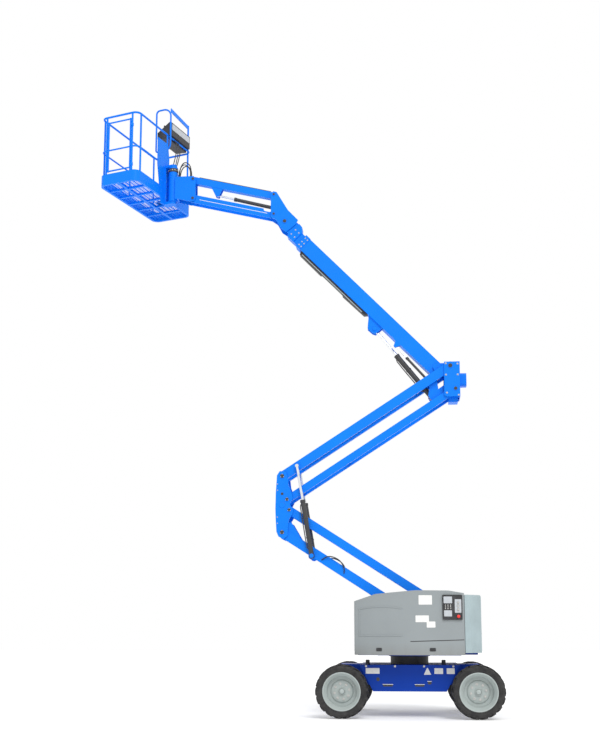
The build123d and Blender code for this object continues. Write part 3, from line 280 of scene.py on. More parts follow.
class Skin:
    """A material whose nodes are made and joined by short calls."""

    def __init__(self, name):
        self.material = bpy.data.materials.new(name)
        self.material.use_nodes = True
        self.tree = self.material.node_tree
        self.shader = self.tree.nodes["Principled BSDF"]
        self.place = self.add("ShaderNodeTexCoord").outputs["Object"]

    def add(self, kind, links=(), values=(), **settings):
        return add_node(self.tree, kind, links, values, **settings)

    def feed(self, value, name):
        """Sets an input of the surface to a value, or joins it to an output."""
        if isinstance(value, bpy.types.NodeSocket):
            self.tree.links.new(value, self.shader.inputs[name])
        else:
            self.shader.inputs[name].default_value = value

    def noise(self, scale, detail=4.0, roughness=0.55, stretch=None):
        place = self.place
        if stretch:
            place = self.add("ShaderNodeMapping", {"Vector": place}, {"Scale": stretch}).outputs["Vector"]
        values = {"Scale": scale, "Detail": detail, "Roughness": roughness}
        return self.add("ShaderNodeTexNoise", {"Vector": place}, values).outputs["Fac"]

    def ramp(self, value, low, high, low_place=0.35, high_place=0.65):
        made = self.add("ShaderNodeValToRGB", {"Fac": value})
        for element, colour, place in zip(made.color_ramp.elements, (low, high), (low_place, high_place)):
            element.position = place
            element.color = (*colour, 1)
        return made.outputs["Color"]

    def spread(self, value, low, high, start=0.0, end=1.0):
        """Maps the span from start to end to the one from low to high."""
        values = {"From Min": start, "From Max": end, "To Min": low, "To Max": high}
        return self.add("ShaderNodeMapRange", {"Value": value}, values).outputs["Result"]

    def blend(self, share, first, second):
        links = {"Factor": share, "A": first}
        return self.add("ShaderNodeMix", links, {"B": (*second, 1)}, data_type="RGBA").outputs["Result"]

    def bump(self, height, strength, distance):
        made = self.add("ShaderNodeBump", {"Height": height}, {"Strength": strength, "Distance": distance})
        self.feed(made.outputs["Normal"], "Normal")


def scaled(colour, factor):
    return tuple(min(1.0, channel * factor) for channel in colour)


def paint(name, colour, rough=(0.28, 0.42), dust=(0.45, 0.44, 0.42), dust_share=0.05, peel=0.05, shine=0.5):
    """Sprayed paint: slight tone changes, thin dust in patches and orange peel."""
    skin = Skin(name)
    tone = skin.ramp(skin.noise(0.7, 3), scaled(colour, 0.93), scaled(colour, 1.05))
    patches = skin.noise(5.0, 8, 0.65)
    film = skin.spread(patches, 0.0, 2 * dust_share)
    coloured = skin.blend(film, tone, dust)
    skin.feed(coloured, "Base Color")
    skin.feed(skin.spread(patches, rough[0], rough[1]), "Roughness")
    skin.feed(shine, "Specular IOR Level")
    skin.feed(0.12 * shine, "Coat Weight")
    skin.feed(0.15, "Coat Roughness")
    skin.bump(skin.noise(260.0, 2), peel, 0.0008)
    return skin.material


def moulded_cover(name, colour):
    """Moulded laminate: satin, faint fibre ripple, run marks and a streaky darkening towards the lower edge.
    """
    skin = Skin(name)
    tone = skin.ramp(skin.noise(1.2, 3), scaled(colour, 0.96), scaled(colour, 1.03))
    runs = skin.noise(9.0, 6, 0.6, (1, 1, 0.12))
    streaked = skin.blend(skin.spread(runs, 0.0, 0.1), tone, scaled(colour, 0.7))
    # Colour darker towards the cover's lower edge, broken up by the run streaks
    height = skin.add("ShaderNodeSeparateXYZ", {"Vector": skin.place}).outputs["Z"]
    low_edge = skin.spread(height, 1.0, 0.0, COVER_BOTTOM, COVER_BOTTOM + DARKENING_HEIGHT)
    lower_darkening = skin.add("ShaderNodeMath", {0: low_edge, 1: skin.spread(runs, 0.05, 0.6)}, operation="MULTIPLY")
    skin.feed(skin.blend(lower_darkening.outputs["Value"], streaked, (0.2, 0.19, 0.17)), "Base Color")
    skin.feed(skin.spread(runs, 0.38, 0.55), "Roughness")
    skin.bump(skin.noise(140.0, 3), 0.08, 0.001)
    return skin.material


def casting(name, colour, grain=90.0, depth=0.2):
    """Painted casting with a sandy skin."""
    skin = Skin(name)
    grit = skin.noise(grain, 6, 0.6)
    tone = skin.ramp(skin.noise(2.5, 5), scaled(colour, 0.9), scaled(colour, 1.05))
    skin.feed(skin.blend(skin.spread(grit, 0.0, 0.22), tone, scaled(colour, 0.6)), "Base Color")
    skin.feed(skin.spread(grit, 0.45, 0.65), "Roughness")
    skin.bump(grit, depth, 0.002)
    return skin.material


def polished_rod(name):
    """Ground and chromed steel with a thin film of oil."""
    skin = Skin(name)
    skin.feed(1.0, "Metallic")
    film = skin.noise(14.0, 4)
    skin.feed(skin.ramp(film, (0.72, 0.74, 0.76), (0.86, 0.87, 0.88)), "Base Color")
    skin.feed(skin.spread(film, 0.1, 0.24), "Roughness")
    skin.bump(skin.noise(600.0, 1), 0.03, 0.0003)
    return skin.material


def bare_steel(name):
    """Zinc-plated fastener."""
    skin = Skin(name)
    skin.feed(0.9, "Metallic")
    spots = skin.noise(70.0, 5)
    skin.feed(skin.ramp(spots, (0.4, 0.4, 0.38), (0.62, 0.62, 0.6)), "Base Color")
    skin.feed(skin.spread(spots, 0.3, 0.5), "Roughness")
    return skin.material


def tyre_rubber(name):
    """Black rubber, dusty where it rolls and in its grooves."""
    skin = Skin(name)
    dust = skin.noise(7.0, 8, 0.7)
    skin.feed(skin.ramp(dust, (0.012, 0.012, 0.013), (0.055, 0.053, 0.05), 0.38, 0.75), "Base Color")
    skin.feed(skin.spread(dust, 0.7, 0.92), "Roughness")
    skin.bump(skin.noise(220.0, 3), 0.15, 0.0012)
    return skin.material


def grained_plastic(name, colour=(0.018, 0.018, 0.02), grain=420.0):
    """Textured black moulding."""
    skin = Skin(name)
    cells = skin.add("ShaderNodeTexVoronoi", {"Vector": skin.place}, {"Scale": grain})
    haze = skin.noise(12.0, 5)
    skin.feed(skin.ramp(haze, colour, scaled(colour, 2.2)), "Base Color")
    skin.feed(skin.spread(haze, 0.45, 0.65), "Roughness")
    skin.bump(cells.outputs["Distance"], 0.12, 0.0006)
    return skin.material


def label_film(name, colour):
    """Blank vinyl label, slightly soiled."""
    skin = Skin(name)
    soil = skin.noise(30.0, 5)
    skin.feed(skin.ramp(soil, scaled(colour, 0.9), colour, 0.25, 0.6), "Base Color")
    skin.feed(skin.spread(soil, 0.25, 0.45), "Roughness")
    return skin.material


FINISHES = {}


def make_finishes(colours):
    blue = tuple(colours.boom_colour)
    deep = tuple(colours.chassis_colour)
    grey = tuple(colours.cover_colour)
    FINISHES.update(
        boom=paint("boom_paint", blue, (0.3, 0.45), (0.05, 0.3, 0.75), 0.05, shine=0.16),
        chassis=paint("chassis_paint", deep, (0.32, 0.48), (0.06, 0.12, 0.3), 0.05, shine=0.14),
        black=paint("black_paint", (0.016, 0.016, 0.018), (0.35, 0.55), dust_share=0.04),
        rim=paint("rim_paint", tuple(colours.rim_colour), (0.4, 0.6), (0.25, 0.22, 0.19), 0.14, 0.08),
        cover=moulded_cover("cover_laminate", grey),
        weight=casting("weight_skin", tuple(colours.weight_colour), 60.0, 0.12),
        engine=casting("engine_skin", (0.06, 0.06, 0.065)),
        rod=polished_rod("rod_chrome"),
        steel=bare_steel("fastener_zinc"),
        tyre=tyre_rubber("tyre_rubber"),
        plastic=grained_plastic("black_moulding"),
        hose=grained_plastic("hose_rubber", (0.014, 0.014, 0.015), 700.0),
        white=label_film("blank_label", (0.84, 0.84, 0.82)),
        panel=label_film("panel_face", (0.5, 0.53, 0.56)),
        red=grained_plastic("red_button", (0.55, 0.02, 0.015), 300.0),
        yellow=grained_plastic("yellow_button", (0.75, 0.5, 0.02), 300.0),
    )


# Repeats made with geometry nodes

class Tree:
    """A geometry node tree with named inputs, whose nodes are made and joined by short calls."""

    def __init__(self, name, inputs):
        self.group = bpy.data.node_groups.new(name, "GeometryNodeTree")
        sockets = self.group.interface
        sockets.new_socket("Geometry", in_out="INPUT", socket_type="NodeSocketGeometry")
        self.sockets = {}
        for label, kind, value in (*inputs, ("Material", "Material", None)):
            socket = sockets.new_socket(label, in_out="INPUT", socket_type="NodeSocket" + kind)
            if value is not None:
                socket.default_value = value
            self.sockets[label] = socket.identifier
        sockets.new_socket("Geometry", in_out="OUTPUT", socket_type="NodeSocketGeometry")
        self.start = self.add("NodeGroupInput").outputs

    def add(self, kind, links=(), values=(), **settings):
        return add_node(self.group, kind, links, values, **settings)

    def maths(self, operation, first, second):
        made = self.add("ShaderNodeMath", {0: first}, operation=operation)
        if isinstance(second, float):
            made.inputs[1].default_value = second
        else:
            self.group.links.new(second, made.inputs[1])
        return made.outputs["Value"]

    def vector(self, **parts):
        return self.add("ShaderNodeCombineXYZ", parts).outputs["Vector"]

    def copies(self, points, instance, rotation):
        links = {"Points": points, "Instance": instance, "Rotation": rotation}
        return self.add("GeometryNodeInstanceOnPoints", links).outputs["Instances"]

    def join(self, *parts):
        made = self.add("GeometryNodeJoinGeometry")
        for part in parts:
            self.group.links.new(part, made.inputs["Geometry"])
        return made.outputs["Geometry"]

    def finish(self, geometry):
        """Makes the copies real, gives them their material and ends the tree."""
        solid = self.add("GeometryNodeRealizeInstances", {"Geometry": geometry}).outputs["Geometry"]
        links = {"Geometry": solid, "Material": self.start["Material"]}
        coloured = self.add("GeometryNodeSetMaterial", links).outputs["Geometry"]
        self.add("NodeGroupOutput", {"Geometry": coloured})
        return self.group, self.sockets


def fastener_tree():
    """A domed hexagon head with its washer on every vertex, turned to the vertex's facing."""
    tree = Tree("fasteners", (("Head Radius", "Float", 0.012), ("Head Height", "Float", 0.009)))
    radius, height = tree.start["Head Radius"], tree.start["Head Height"]
    taper = tree.maths("MULTIPLY", radius, 0.86)
    links = {"Radius Bottom": radius, "Radius Top": taper, "Depth": height}
    head = tree.add("GeometryNodeMeshCone", links, {"Vertices": 6})
    wide = tree.maths("MULTIPLY", radius, 1.35)
    thin = tree.maths("MULTIPLY", height, 0.25)
    washer = tree.add("GeometryNodeMeshCylinder", {"Radius": wide, "Depth": thin}, {"Vertices": 16})
    facing = tree.add("GeometryNodeInputNamedAttribute", (), {"Name": "facing"}, data_type="FLOAT_VECTOR")
    turn = tree.add("FunctionNodeAlignRotationToVector", {"Vector": facing.outputs["Attribute"]}, axis="Z")
    both = tree.join(head.outputs["Mesh"], washer.outputs["Mesh"])
    return tree.finish(tree.copies(tree.start["Geometry"], both, turn.outputs["Rotation"]))


def lug_tree():
    """Slanted tread lugs in two staggered rows round the X axis."""
    tree = Tree(
        "tread_lugs",
        (
            ("Lug Count", "Int", 18),
            ("Crown Radius", "Float", 0.372),
            ("Lug Length", "Float", 0.158),
            ("Lug Width", "Float", 0.05),
            ("Lug Height", "Float", 0.048),
            ("Slant", "Float", 0.49),
            ("Row Offset", "Float", 0.08),
        ),
    )
    start = tree.start
    rows = []
    for row in (-1.0, 1.0):
        size = tree.vector(X=start["Lug Length"], Y=start["Lug Width"], Z=start["Lug Height"])
        steps = {"Vertices X": 4, "Vertices Y": 2, "Vertices Z": 2}
        lug = tree.add("GeometryNodeMeshCube", {"Size": size}, steps).outputs["Mesh"]
        slant = tree.vector(Z=tree.maths("MULTIPLY", start["Slant"], row))
        place = tree.vector(X=tree.maths("MULTIPLY", start["Row Offset"], row), Z=start["Crown Radius"])
        links = {"Geometry": lug, "Rotation": slant, "Translation": place}
        slanted = tree.add("GeometryNodeTransform", links).outputs["Geometry"]
        line = tree.add("GeometryNodeMeshLine", {"Count": start["Lug Count"]}, {"Offset": (0.0, 0.0, 0.0)})
        index = tree.add("GeometryNodeInputIndex").outputs["Index"]
        share = tree.maths("DIVIDE", tree.maths("ADD", index, 0.25 + 0.25 * row), start["Lug Count"])
        around = tree.vector(X=tree.maths("MULTIPLY", share, -2 * math.pi))
        turned = tree.add("FunctionNodeEulerToRotation", {"Euler": around}).outputs["Rotation"]
        rows.append(tree.copies(line.outputs["Mesh"], slanted, turned))
    return tree.finish(tree.join(*rows))


TREES = {}


def tree_named(name):
    if name not in TREES:
        TREES[name] = {"fasteners": fastener_tree, "lugs": lug_tree}[name]()
    return TREES[name]


def grown_mesh(name, mesh, tree_name, inputs):
    """Plain mesh that a geometry node tree makes from another mesh."""
    tree, sockets = tree_named(tree_name)
    carrier = show(name, mesh)
    modifier = carrier.modifiers.new("grow", "NODES")
    modifier.node_group = tree
    for label, value in inputs.items():
        modifier[sockets[label]] = value
    bpy.context.view_layer.update()
    evaluated = carrier.evaluated_get(bpy.context.evaluated_depsgraph_get())
    grown = bpy.data.meshes.new_from_object(evaluated)
    bpy.data.objects.remove(carrier)
    return grown


def add_fasteners(name, spots, body, radius=0.012, height=0.009, material="steel"):
    """Bolt heads at places given as a point and the way that they face."""
    mesh = bpy.data.meshes.new(name)
    mesh.from_pydata([tuple(point) for point, _ in spots], [], [])
    facing = mesh.attributes.new("facing", "FLOAT_VECTOR", "POINT")
    facing.data.foreach_set("vector", [part for _, way in spots for part in Vector(way).normalized()])
    grown = grown_mesh(
        name,
        mesh,
        "fasteners",
        {"Head Radius": radius, "Head Height": height, "Material": FINISHES[material]},
    )
    return ride_on(show(name, grown), body)


def from_side(point, angle, x, y, side, depth):
    """Point given along and above a member, at a distance across the machine."""
    spot = side_frame(point, angle) @ Vector((x, y, 0))
    return Vector((spot.x, side * depth, spot.z))


# Settings

class LiftColours(bpy.types.PropertyGroup):
    boom_colour: FloatVectorProperty(
        name="Boom paint", description="Colour of the arms, boom, jib and platform",
        subtype="COLOR", size=3, min=0, max=1, default=(0.0, 0.2, 0.9))
    chassis_colour: FloatVectorProperty(
        name="Chassis paint", description="Colour of the chassis and turntable frame",
        subtype="COLOR", size=3, min=0, max=1, default=(0.0, 0.042, 0.38))
    cover_colour: FloatVectorProperty(
        name="Cover grey", description="Colour of the covers",
        subtype="COLOR", size=3, min=0, max=1, default=(0.28, 0.31, 0.32))
    weight_colour: FloatVectorProperty(
        name="Weight grey", description="Colour of the counterweight",
        subtype="COLOR", size=3, min=0, max=1, default=(0.36, 0.45, 0.47))
    rim_colour: FloatVectorProperty(
        name="Rim grey", description="Colour of the wheel rims",
        subtype="COLOR", size=3, min=0, max=1, default=(0.41, 0.47, 0.46))


class LiftSizes(bpy.types.PropertyGroup):
    lug_count: IntProperty(
        name="Lugs a row", description="Tread lugs in each of the two rows", min=8, max=40, default=18)
    tyre_radius: FloatProperty(
        name="Tyre radius", description="Radius over the lugs", unit="LENGTH", min=0.3, max=0.5, default=0.4)
    bolt_radius: FloatProperty(
        name="Bolt radius", description="Half the width of a bolt head", unit="LENGTH",
        min=0.004, max=0.03, default=0.012)
    hose_radius: FloatProperty(
        name="Hose radius", description="Half the outer width of a hydraulic hose", unit="LENGTH",
        min=0.004, max=0.02, default=0.009)
    mesh_pitch: FloatProperty(
        name="Deck mesh pitch", description="Distance between the strands of the see-through deck",
        unit="LENGTH", min=0.015, max=0.08, default=0.036)
    sun_strength: FloatProperty(
        name="Main light", description="Strength of the main light", min=0, max=10, default=1.6)


# Pieces

NODE_FINISH = {
    "black": (
        "drive_axle", "steer_axle", "knuckle_near", "knuckle_far", "slew_ring", "riser_barrels",
        "lift_barrel", "level_barrel", "jib_barrel",
    ),
    "chassis": ("chassis_frame", "turntable_frame"),
    "cover": ("cover_near", "cover_far"),
    "weight": ("counterweight",),
    "engine": ("engine_block",),
    "rod": ("riser_rods", "lift_rod", "level_rod", "jib_rod", "steering_rod"),
    "plastic": ("deck_bumpers", "ground_panel", "control_box", "hose_carrier"),
}


class LIFT_OT_node_finishes(bpy.types.Operator):
    """Gives every part of the construction its finish"""

    bl_idname = "lift.node_finishes"
    bl_label = "Finishes"

    def execute(self, context):
        make_finishes(context.scene.lift_colours)
        chosen = {name: finish for finish, names in NODE_FINISH.items() for name in names}
        for name, part in NODES.items():
            finish = chosen.get(name, "boom")
            if name.startswith("tyre"):
                finish = "tyre"
            if name.startswith("rim"):
                finish = "rim"
            part.data.materials.clear()
            part.data.materials.append(FINISHES[finish])
        return {"FINISHED"}


# Radius and height of the turned pieces
HUB_CAP = [(0, 0.062), (0.022, 0.061), (0.036, 0.054), (0.041, 0.042), (0.041, 0.0365), (0, 0.0365)]
HUB_DISC = [(0, 0.0025), (0.155, 0.0025), (0.155, 0.012), (0.149, 0.0155), (0.1, 0.0155), (0, 0.0155)]
RIM_LIP = [(0.268, 0.136), (0.274, 0.1415), (0.2865, 0.1415), (0.2875, 0.1375), (0.268, 0.136)]
VALVE = [(0, 0.05), (0.0045, 0.05), (0.0045, 0.03), (0.0035, 0.03), (0.0035, -0.02), (0, -0.02)]
SWITCH = [(0, -0.001), (0.008, -0.001), (0.008, 0.005), (0.003, 0.007), (0.0035, 0.02), (0, 0.022)]
SMALL_SWITCH = [(0, -0.003), (0.009, -0.003), (0.009, 0.005), (0.004, 0.008), (0.004, 0.022), (0, 0.024)]
KEY_SWITCH = [(0, 0), (0.017, 0), (0.016, 0.012), (0.012, 0.016), (0, 0.016)]
LEVER = [
    (0, -0.004), (0.035, -0.004), (0.032, 0.006), (0.022, 0.02), (0.01, 0.034), (0.009, 0.07),
    (0.015, 0.08), (0.017, 0.1), (0.012, 0.116), (0, 0.118),
]
GROUND_STOP = [
    (0, -0.001), (0.014, -0.001), (0.014, 0.012), (0.024, 0.014), (0.024, 0.022), (0.018, 0.027), (0, 0.028),
]
PLATFORM_STOP = [
    (0, -0.003), (0.016, -0.003), (0.016, 0.012), (0.026, 0.014), (0.026, 0.022), (0.02, 0.028), (0, 0.029),
]


def wheel_frame(end, side):
    """Wheel axes: Z points out of the machine along the axle."""
    return facing_frame((end * WHEEL_X, side * WHEEL_Y, WHEEL_Z), (0, side, 0))


class LIFT_OT_tyres(bpy.types.Operator):
    """Builds the tyres: a rounded carcass with ribbed side walls and slanted lugs"""

    bl_idname = "lift.tyres"
    bl_label = "Tyres"

    def execute(self, context):
        sizes = context.scene.lift_sizes
        top = sizes.tyre_radius
        half = 0.16
        wall = [
            (0.2405, 0.0), (0.2405, 0.076), (0.282, 0.126), (0.287, 0.142), (0.293, 0.1455), (0.3, 0.146),
            (0.301, 0.1495), (0.307, 0.1515), (0.31, 0.149), (0.328, 0.154), (0.336, 0.1575), (0.339, 0.1535),
            (0.352, 0.1555), (0.364, 0.153), (0.3725, 0.144), (0.3765, 0.128),
            (top - 0.022, 0.1), (top - 0.022, 0.0),
        ]
        profile = wall + [(radius, -height) for radius, height in reversed(wall[:-1])]
        lugs = grown_mesh(
            "lugs",
            bpy.data.meshes.new("seed"),
            "lugs",
            {
                "Lug Count": sizes.lug_count,
                "Crown Radius": top - 0.0265,
                "Lug Length": half - 0.004,
                "Lug Width": 0.046,
                "Lug Height": 0.044,
                "Slant": 0.49,
                "Row Offset": half / 2,
                "Material": FINISHES["tyre"],
            },
        )
        for name, end, side in WHEELS:
            place = wheel_frame(end, side)
            bm = bmesh.new()
            add_lathe(bm, place, profile, 96)
            turned = place @ Matrix.Rotation(math.radians(90), 4, "Y")
            extra = bmesh.new()
            extra.from_mesh(lugs)
            bmesh.ops.remove_doubles(extra, verts=extra.verts, dist=1e-6)
            for vertex in extra.verts:
                shoulder = max(0.0, abs(vertex.co.x) - 0.1)
                reach = math.hypot(vertex.co.y, vertex.co.z)
                if reach > top - 0.02:
                    limit = top - 0.0006 - 0.12 * shoulder
                    vertex.co.y *= limit / reach
                    vertex.co.z *= limit / reach
            bmesh.ops.transform(extra, matrix=turned, verts=extra.verts)
            joined = bpy.data.meshes.new("joined")
            extra.to_mesh(joined)
            extra.free()
            bm.from_mesh(joined)
            piece = finish_piece(bm, f"tread_{name}", "tyre", f"wheel_{name}")
            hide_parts(f"tyre_{name}")
        return {"FINISHED"}


class LIFT_OT_wheel_fittings(bpy.types.Operator):
    """Adds the wheel nuts, hub caps and valves"""

    bl_idname = "lift.wheel_fittings"
    bl_label = "Wheel fittings"

    def execute(self, context):
        for name, end, side in WHEELS:
            place = wheel_frame(end, side)
            bm = bmesh.new()
            add_lathe(bm, place, HUB_CAP, 32)
            add_lathe(bm, place, HUB_DISC, 48)
            add_lathe(bm, place, RIM_LIP, 72)
            finish_piece(bm, f"hub_{name}", "rim", f"wheel_{name}")
            nuts = []
            for index in range(8):
                turn = 2 * math.pi * index / 8 + 0.2
                spot = place @ Vector((0.115 * math.cos(turn), 0.115 * math.sin(turn), 0.021))
                nuts.append((spot, place.to_3x3() @ Vector((0, 0, 1))))
            add_fasteners(f"nuts_{name}", nuts, f"wheel_{name}", 0.0145, 0.014)
            bm = bmesh.new()
            stem = place @ Matrix.Translation((0.2, 0.09, 0.05)) @ Matrix.Rotation(-0.5, 4, "Y")
            add_lathe(bm, stem, VALVE, 12)
            finish_piece(bm, f"valve_{name}", "steel", f"wheel_{name}")
        return {"FINISHED"}


# Place along and above, then width and height
CHASSIS_PLATES = ((-0.56, 0.695, 0.21, 0.085), (0.44, 0.695, 0.13, 0.085), (0.62, 0.695, 0.12, 0.085))
CHASSIS_WEDGE = [(-0.055, -0.05), (0.055, -0.05), (0.006, 0.052), (-0.006, 0.052)]
# Painted shade: black patches inside each slot of the chassis
CHASSIS_SLOT_SHADES = (
    (-0.33, 0.475, 0.15, 0.026), (0.15, 0.475, 0.14, 0.026),
    (0.3, 0.515, 0.06, 0.04), (-0.48, 0.57, 0.05, 0.06),
)
STEERING_HOSE = (
    (0.835, 0.13, 0.372), (0.835, 0.13, 0.422), (0.8, 0.18, 0.5), (0.72, 0.2, 0.56), (0.6, 0.22, 0.6),
)
CHASSIS_LEDGES = ((-0.33, 0.494, 0.16), (0.15, 0.494, 0.15), (0.3, 0.541, 0.07))
COVER_LABELS = ((0.25, 1.755, 0.2, 0.14), (0.2, 1.475, 0.2, 0.1), (0.33, 1.39, 0.13, 0.09))
GROUND_PLATES = ((-0.07, 0.11, 0.13, 0.1), (0.085, 0.02, 0.1, 0.2), (-0.07, -0.09, 0.12, 0.09))


class LIFT_OT_chassis_fittings(bpy.types.Operator):
    """Adds the blank plates, steps, black patches painted as the shade inside each slot, and axle hoses of
    the chassis
    """

    bl_idname = "lift.chassis_fittings"
    bl_label = "Chassis fittings"

    def execute(self, context):
        sizes = context.scene.lift_sizes
        plates, slot_shades, ledges = bmesh.new(), bmesh.new(), bmesh.new()
        for side in (-1, 1):
            place = beside((0, 0), side, CHASSIS_FACE)
            for x, z, width, height in CHASSIS_PLATES:
                spot = place @ Matrix.Translation((-side * x, z, 0))
                add_prism(plates, spot, rounded(width, height, 0.006, 3), -0.0002, 0.0012)
            spot = place @ Matrix.Translation((-side * 0.27, 0.69, 0))
            add_prism(plates, spot, CHASSIS_WEDGE, -0.0002, 0.0012)
            # Painted shade: a black patch inside each slot
            for x, z, width, height in CHASSIS_SLOT_SHADES:
                spot = place @ Matrix.Translation((-side * x, z, 0))
                outline = rounded(width, height, min(width, height) / 2 - 0.001, 4)
                add_prism(slot_shades, spot, outline, -0.0002, 0.001)
            for x, z, width in CHASSIS_LEDGES:
                spot = place @ Matrix.Translation((-side * x, z, 0))
                add_box(ledges, spot, (-width / 2, -0.004, -0.001), (width / 2, 0.004, 0.012))
        finish_piece(plates, "chassis_blank_plates", "white", "chassis")
        finish_piece(slot_shades, "chassis_slot_shades", "black", "chassis")
        finish_piece(ledges, "chassis_ledges", "white", "chassis", bevel=0.0015)
        bolts = []
        for side in (-1, 1):
            for x in (-0.66, -0.22, 0.22, 0.66):
                bolts.append((Vector((x, side * CHASSIS_FACE, 0.765)), (0, side, 0)))
            for index in range(6):
                turn = math.radians(60 * index + 30)
                x, z = 0.105 * math.cos(turn) - WHEEL_X, 0.105 * math.sin(turn) + WHEEL_Z
                bolts.append((Vector((x, side * 0.8045, z)), (0, -side, 0)))
        add_fasteners("chassis_bolts", bolts, "chassis", sizes.bolt_radius, 0.009)
        hoses = bmesh.new()
        for side in (-1, 1):
            route = [(x, side * y, z) for x, y, z in STEERING_HOSE]
            add_tube(hoses, route, sizes.hose_radius, 10, 2)
        finish_piece(hoses, "steering_hoses", "hose", "chassis")
        return {"FINISHED"}


def near_face(x, z, lift=0.0):
    """Place on the near cover's bulging side, facing outwards."""
    points = ((-0.83, 0.88), (0.12, 1.135), (0.83, 1.04))
    (x1, y1), (x2, y2), (x3, y3) = points
    cross = 2 * (x1 * (y2 - y3) + x2 * (y3 - y1) + x3 * (y1 - y2))
    one, two, three = x1**2 + y1**2, x2**2 + y2**2, x3**2 + y3**2
    cx = (one * (y2 - y3) + two * (y3 - y1) + three * (y1 - y2)) / cross
    cy = (one * (x3 - x2) + two * (x1 - x3) + three * (x2 - x1)) / cross
    radius = math.hypot(x1 - cx, y1 - cy)
    y = cy + math.sqrt(radius**2 - (x - cx) ** 2)
    outward = Vector((x - cx, cy - y, 0)).normalized()
    return Vector((x, -y, z)) + outward * lift, outward


def wrap_band(bm, outline_rows, lift):
    """Thin skin that follows the near cover: rows of (x, low z, high z)."""
    columns = []
    for x, low, high in outline_rows:
        for_column = []
        for z, out in ((low, -0.001), (low, lift), (high, lift), (high, -0.001)):
            spot, _ = near_face(x, z, out)
            for_column.append(bm.verts.new(spot))
        columns.append(for_column)
    for first, second in zip(columns, columns[1:]):
        for index in range(3):
            bm.faces.new((first[index], second[index], second[index + 1], first[index + 1]))
    for column in (columns[0], columns[-1]):
        bm.faces.new(column)


class LIFT_OT_cover_fittings(bpy.types.Operator):
    """Adds the raised frame, a black strip painted as the shade of a moulded recess, blank labels and latches
    of the covers
    """

    bl_idname = "lift.cover_fittings"
    bl_label = "Cover fittings"

    def execute(self, context):
        frame_bm = bmesh.new()
        rail = 0.018
        left, right, low, high = -0.74, -0.1, 1.235, 1.62
        steps = 24
        xs = [left + (right - left) * index / steps for index in range(steps + 1)]
        wrap_band(frame_bm, [(x, low - rail, low) for x in xs], 0.006)
        crowned = [(x, high + 0.03 * math.sin(math.pi * (x - left) / (right - left))) for x in xs]
        wrap_band(frame_bm, [(x, z, z + rail) for x, z in crowned], 0.006)
        wrap_band(frame_bm, [(left - rail, low - rail, high + rail), (left, low - rail, high + rail)], 0.006)
        finish_piece(frame_bm, "cover_panel_frame", "cover", "cover_near", bevel=0.002)
        # Painted shade: a black strip where the cover has a moulded recess
        groove_shade = bmesh.new()
        xs = [0.02 + 0.8 * index / 30 for index in range(31)]
        wrap_band(groove_shade, [(x, 1.134 + 0.03 * (x - 0.02), 1.146 + 0.03 * (x - 0.02)) for x in xs], 0.001)
        finish_piece(groove_shade, "cover_groove_shade", "black", "cover_near")
        labels = bmesh.new()
        for x, z, width, height in COVER_LABELS:
            spot, outward = near_face(x, z)
            add_prism(labels, facing_frame(spot, outward), rounded(width, height, 0.008, 3), -0.002, 0.0018)
        finish_piece(labels, "cover_blank_labels", "white", "cover_near")
        for side, body in ((-1, "cover_near"), (1, "cover_far")):
            latch = bmesh.new()
            for x in (-0.45, 0.35):
                spot, outward = near_face(x, 1.02)
                if side > 0:
                    spot = Vector((spot.x, -spot.y, spot.z))
                    outward = Vector((outward.x, -outward.y, 0))
                place = facing_frame(spot, outward)
                add_prism(latch, place, rounded(0.09, 0.05, 0.012, 4), -0.002, 0.006)
                add_prism(latch, place, rounded(0.06, 0.022, 0.009, 4), 0.006, 0.011)
            finish_piece(latch, f"{body}_latches", "plastic", body, bevel=0.001)
        bolts = [(Vector((1.096, y, z)), (1, 0, 0)) for y in (-0.55, 0.55) for z in (1.25, 1.6)]
        add_fasteners("weight_bolts", bolts, "turntable", 0.022, 0.014)
        return {"FINISHED"}


class LIFT_OT_ground_controls(bpy.types.Operator):
    """Adds the bare switches, key switch and stop button of the ground controls"""

    bl_idname = "lift.ground_controls"
    bl_label = "Ground controls"

    def execute(self, context):
        spot, outward = near_face(0.65, 1.645, 0.0163)
        place = facing_frame(spot, outward)
        face = bmesh.new()
        for x, y, width, height in GROUND_PLATES:
            at = place @ Matrix.Translation((x, y, 0))
            add_prism(face, at, rounded(width, height, 0.006, 3), -0.0005, 0.0015)
        finish_piece(face, "ground_panel_plates", "panel", "cover_near")
        knobs = bmesh.new()
        for row in range(3):
            for column in range(3):
                at = place @ Matrix.Translation((-0.11 + 0.04 * column, 0.03 - 0.025 * row, 0))
                add_lathe(knobs, at, SWITCH, 12)
        for y in (-0.05, 0.0, 0.05):
            at = place @ Matrix.Translation((0.085, y + 0.02, 0.001))
            add_lathe(knobs, at, KEY_SWITCH, 20)
        finish_piece(knobs, "ground_panel_switches", "steel", "cover_near")
        stop = bmesh.new()
        add_lathe(stop, place @ Matrix.Translation((0.085, -0.135, 0)), GROUND_STOP, 28)
        finish_piece(stop, "ground_stop_button", "red", "cover_near")
        rim_bm = bmesh.new()
        outline = rounded(0.3, 0.37, 0.012, 4)
        for index in range(len(outline)):
            (ax, ay), (bx, by) = outline[index], outline[(index + 1) % len(outline)]
            quad = [(ax, ay), (bx, by), (bx * 0.94, by * 0.955), (ax * 0.94, ay * 0.955)]
            add_prism(rim_bm, place, quad, -0.001, 0.006)
        bmesh.ops.remove_doubles(rim_bm, verts=rim_bm.verts, dist=1e-5)
        finish_piece(rim_bm, "ground_panel_rim", "plastic", "cover_near")
        return {"FINISHED"}


def line_along(start, end, places, drop, y):
    """Points beside a straight member."""
    run = Vector((end[0] - start[0], 0, end[1] - start[1]))
    above = Vector((-run.z, 0, run.x)).normalized()
    first = Vector((start[0], y, start[1]))
    return [first + run * share + above * height for share, height in zip(places, drop)]


# Place along and above the lower arm, then distance from the middle of the machine
RISER_HOSE = (
    (0.78, -0.03, 0.2), (0.84, 0.09, 0.225), (1.02, 0.13, 0.225), (1.16, 0.06, 0.21), (1.2, -0.02, 0.196),
)


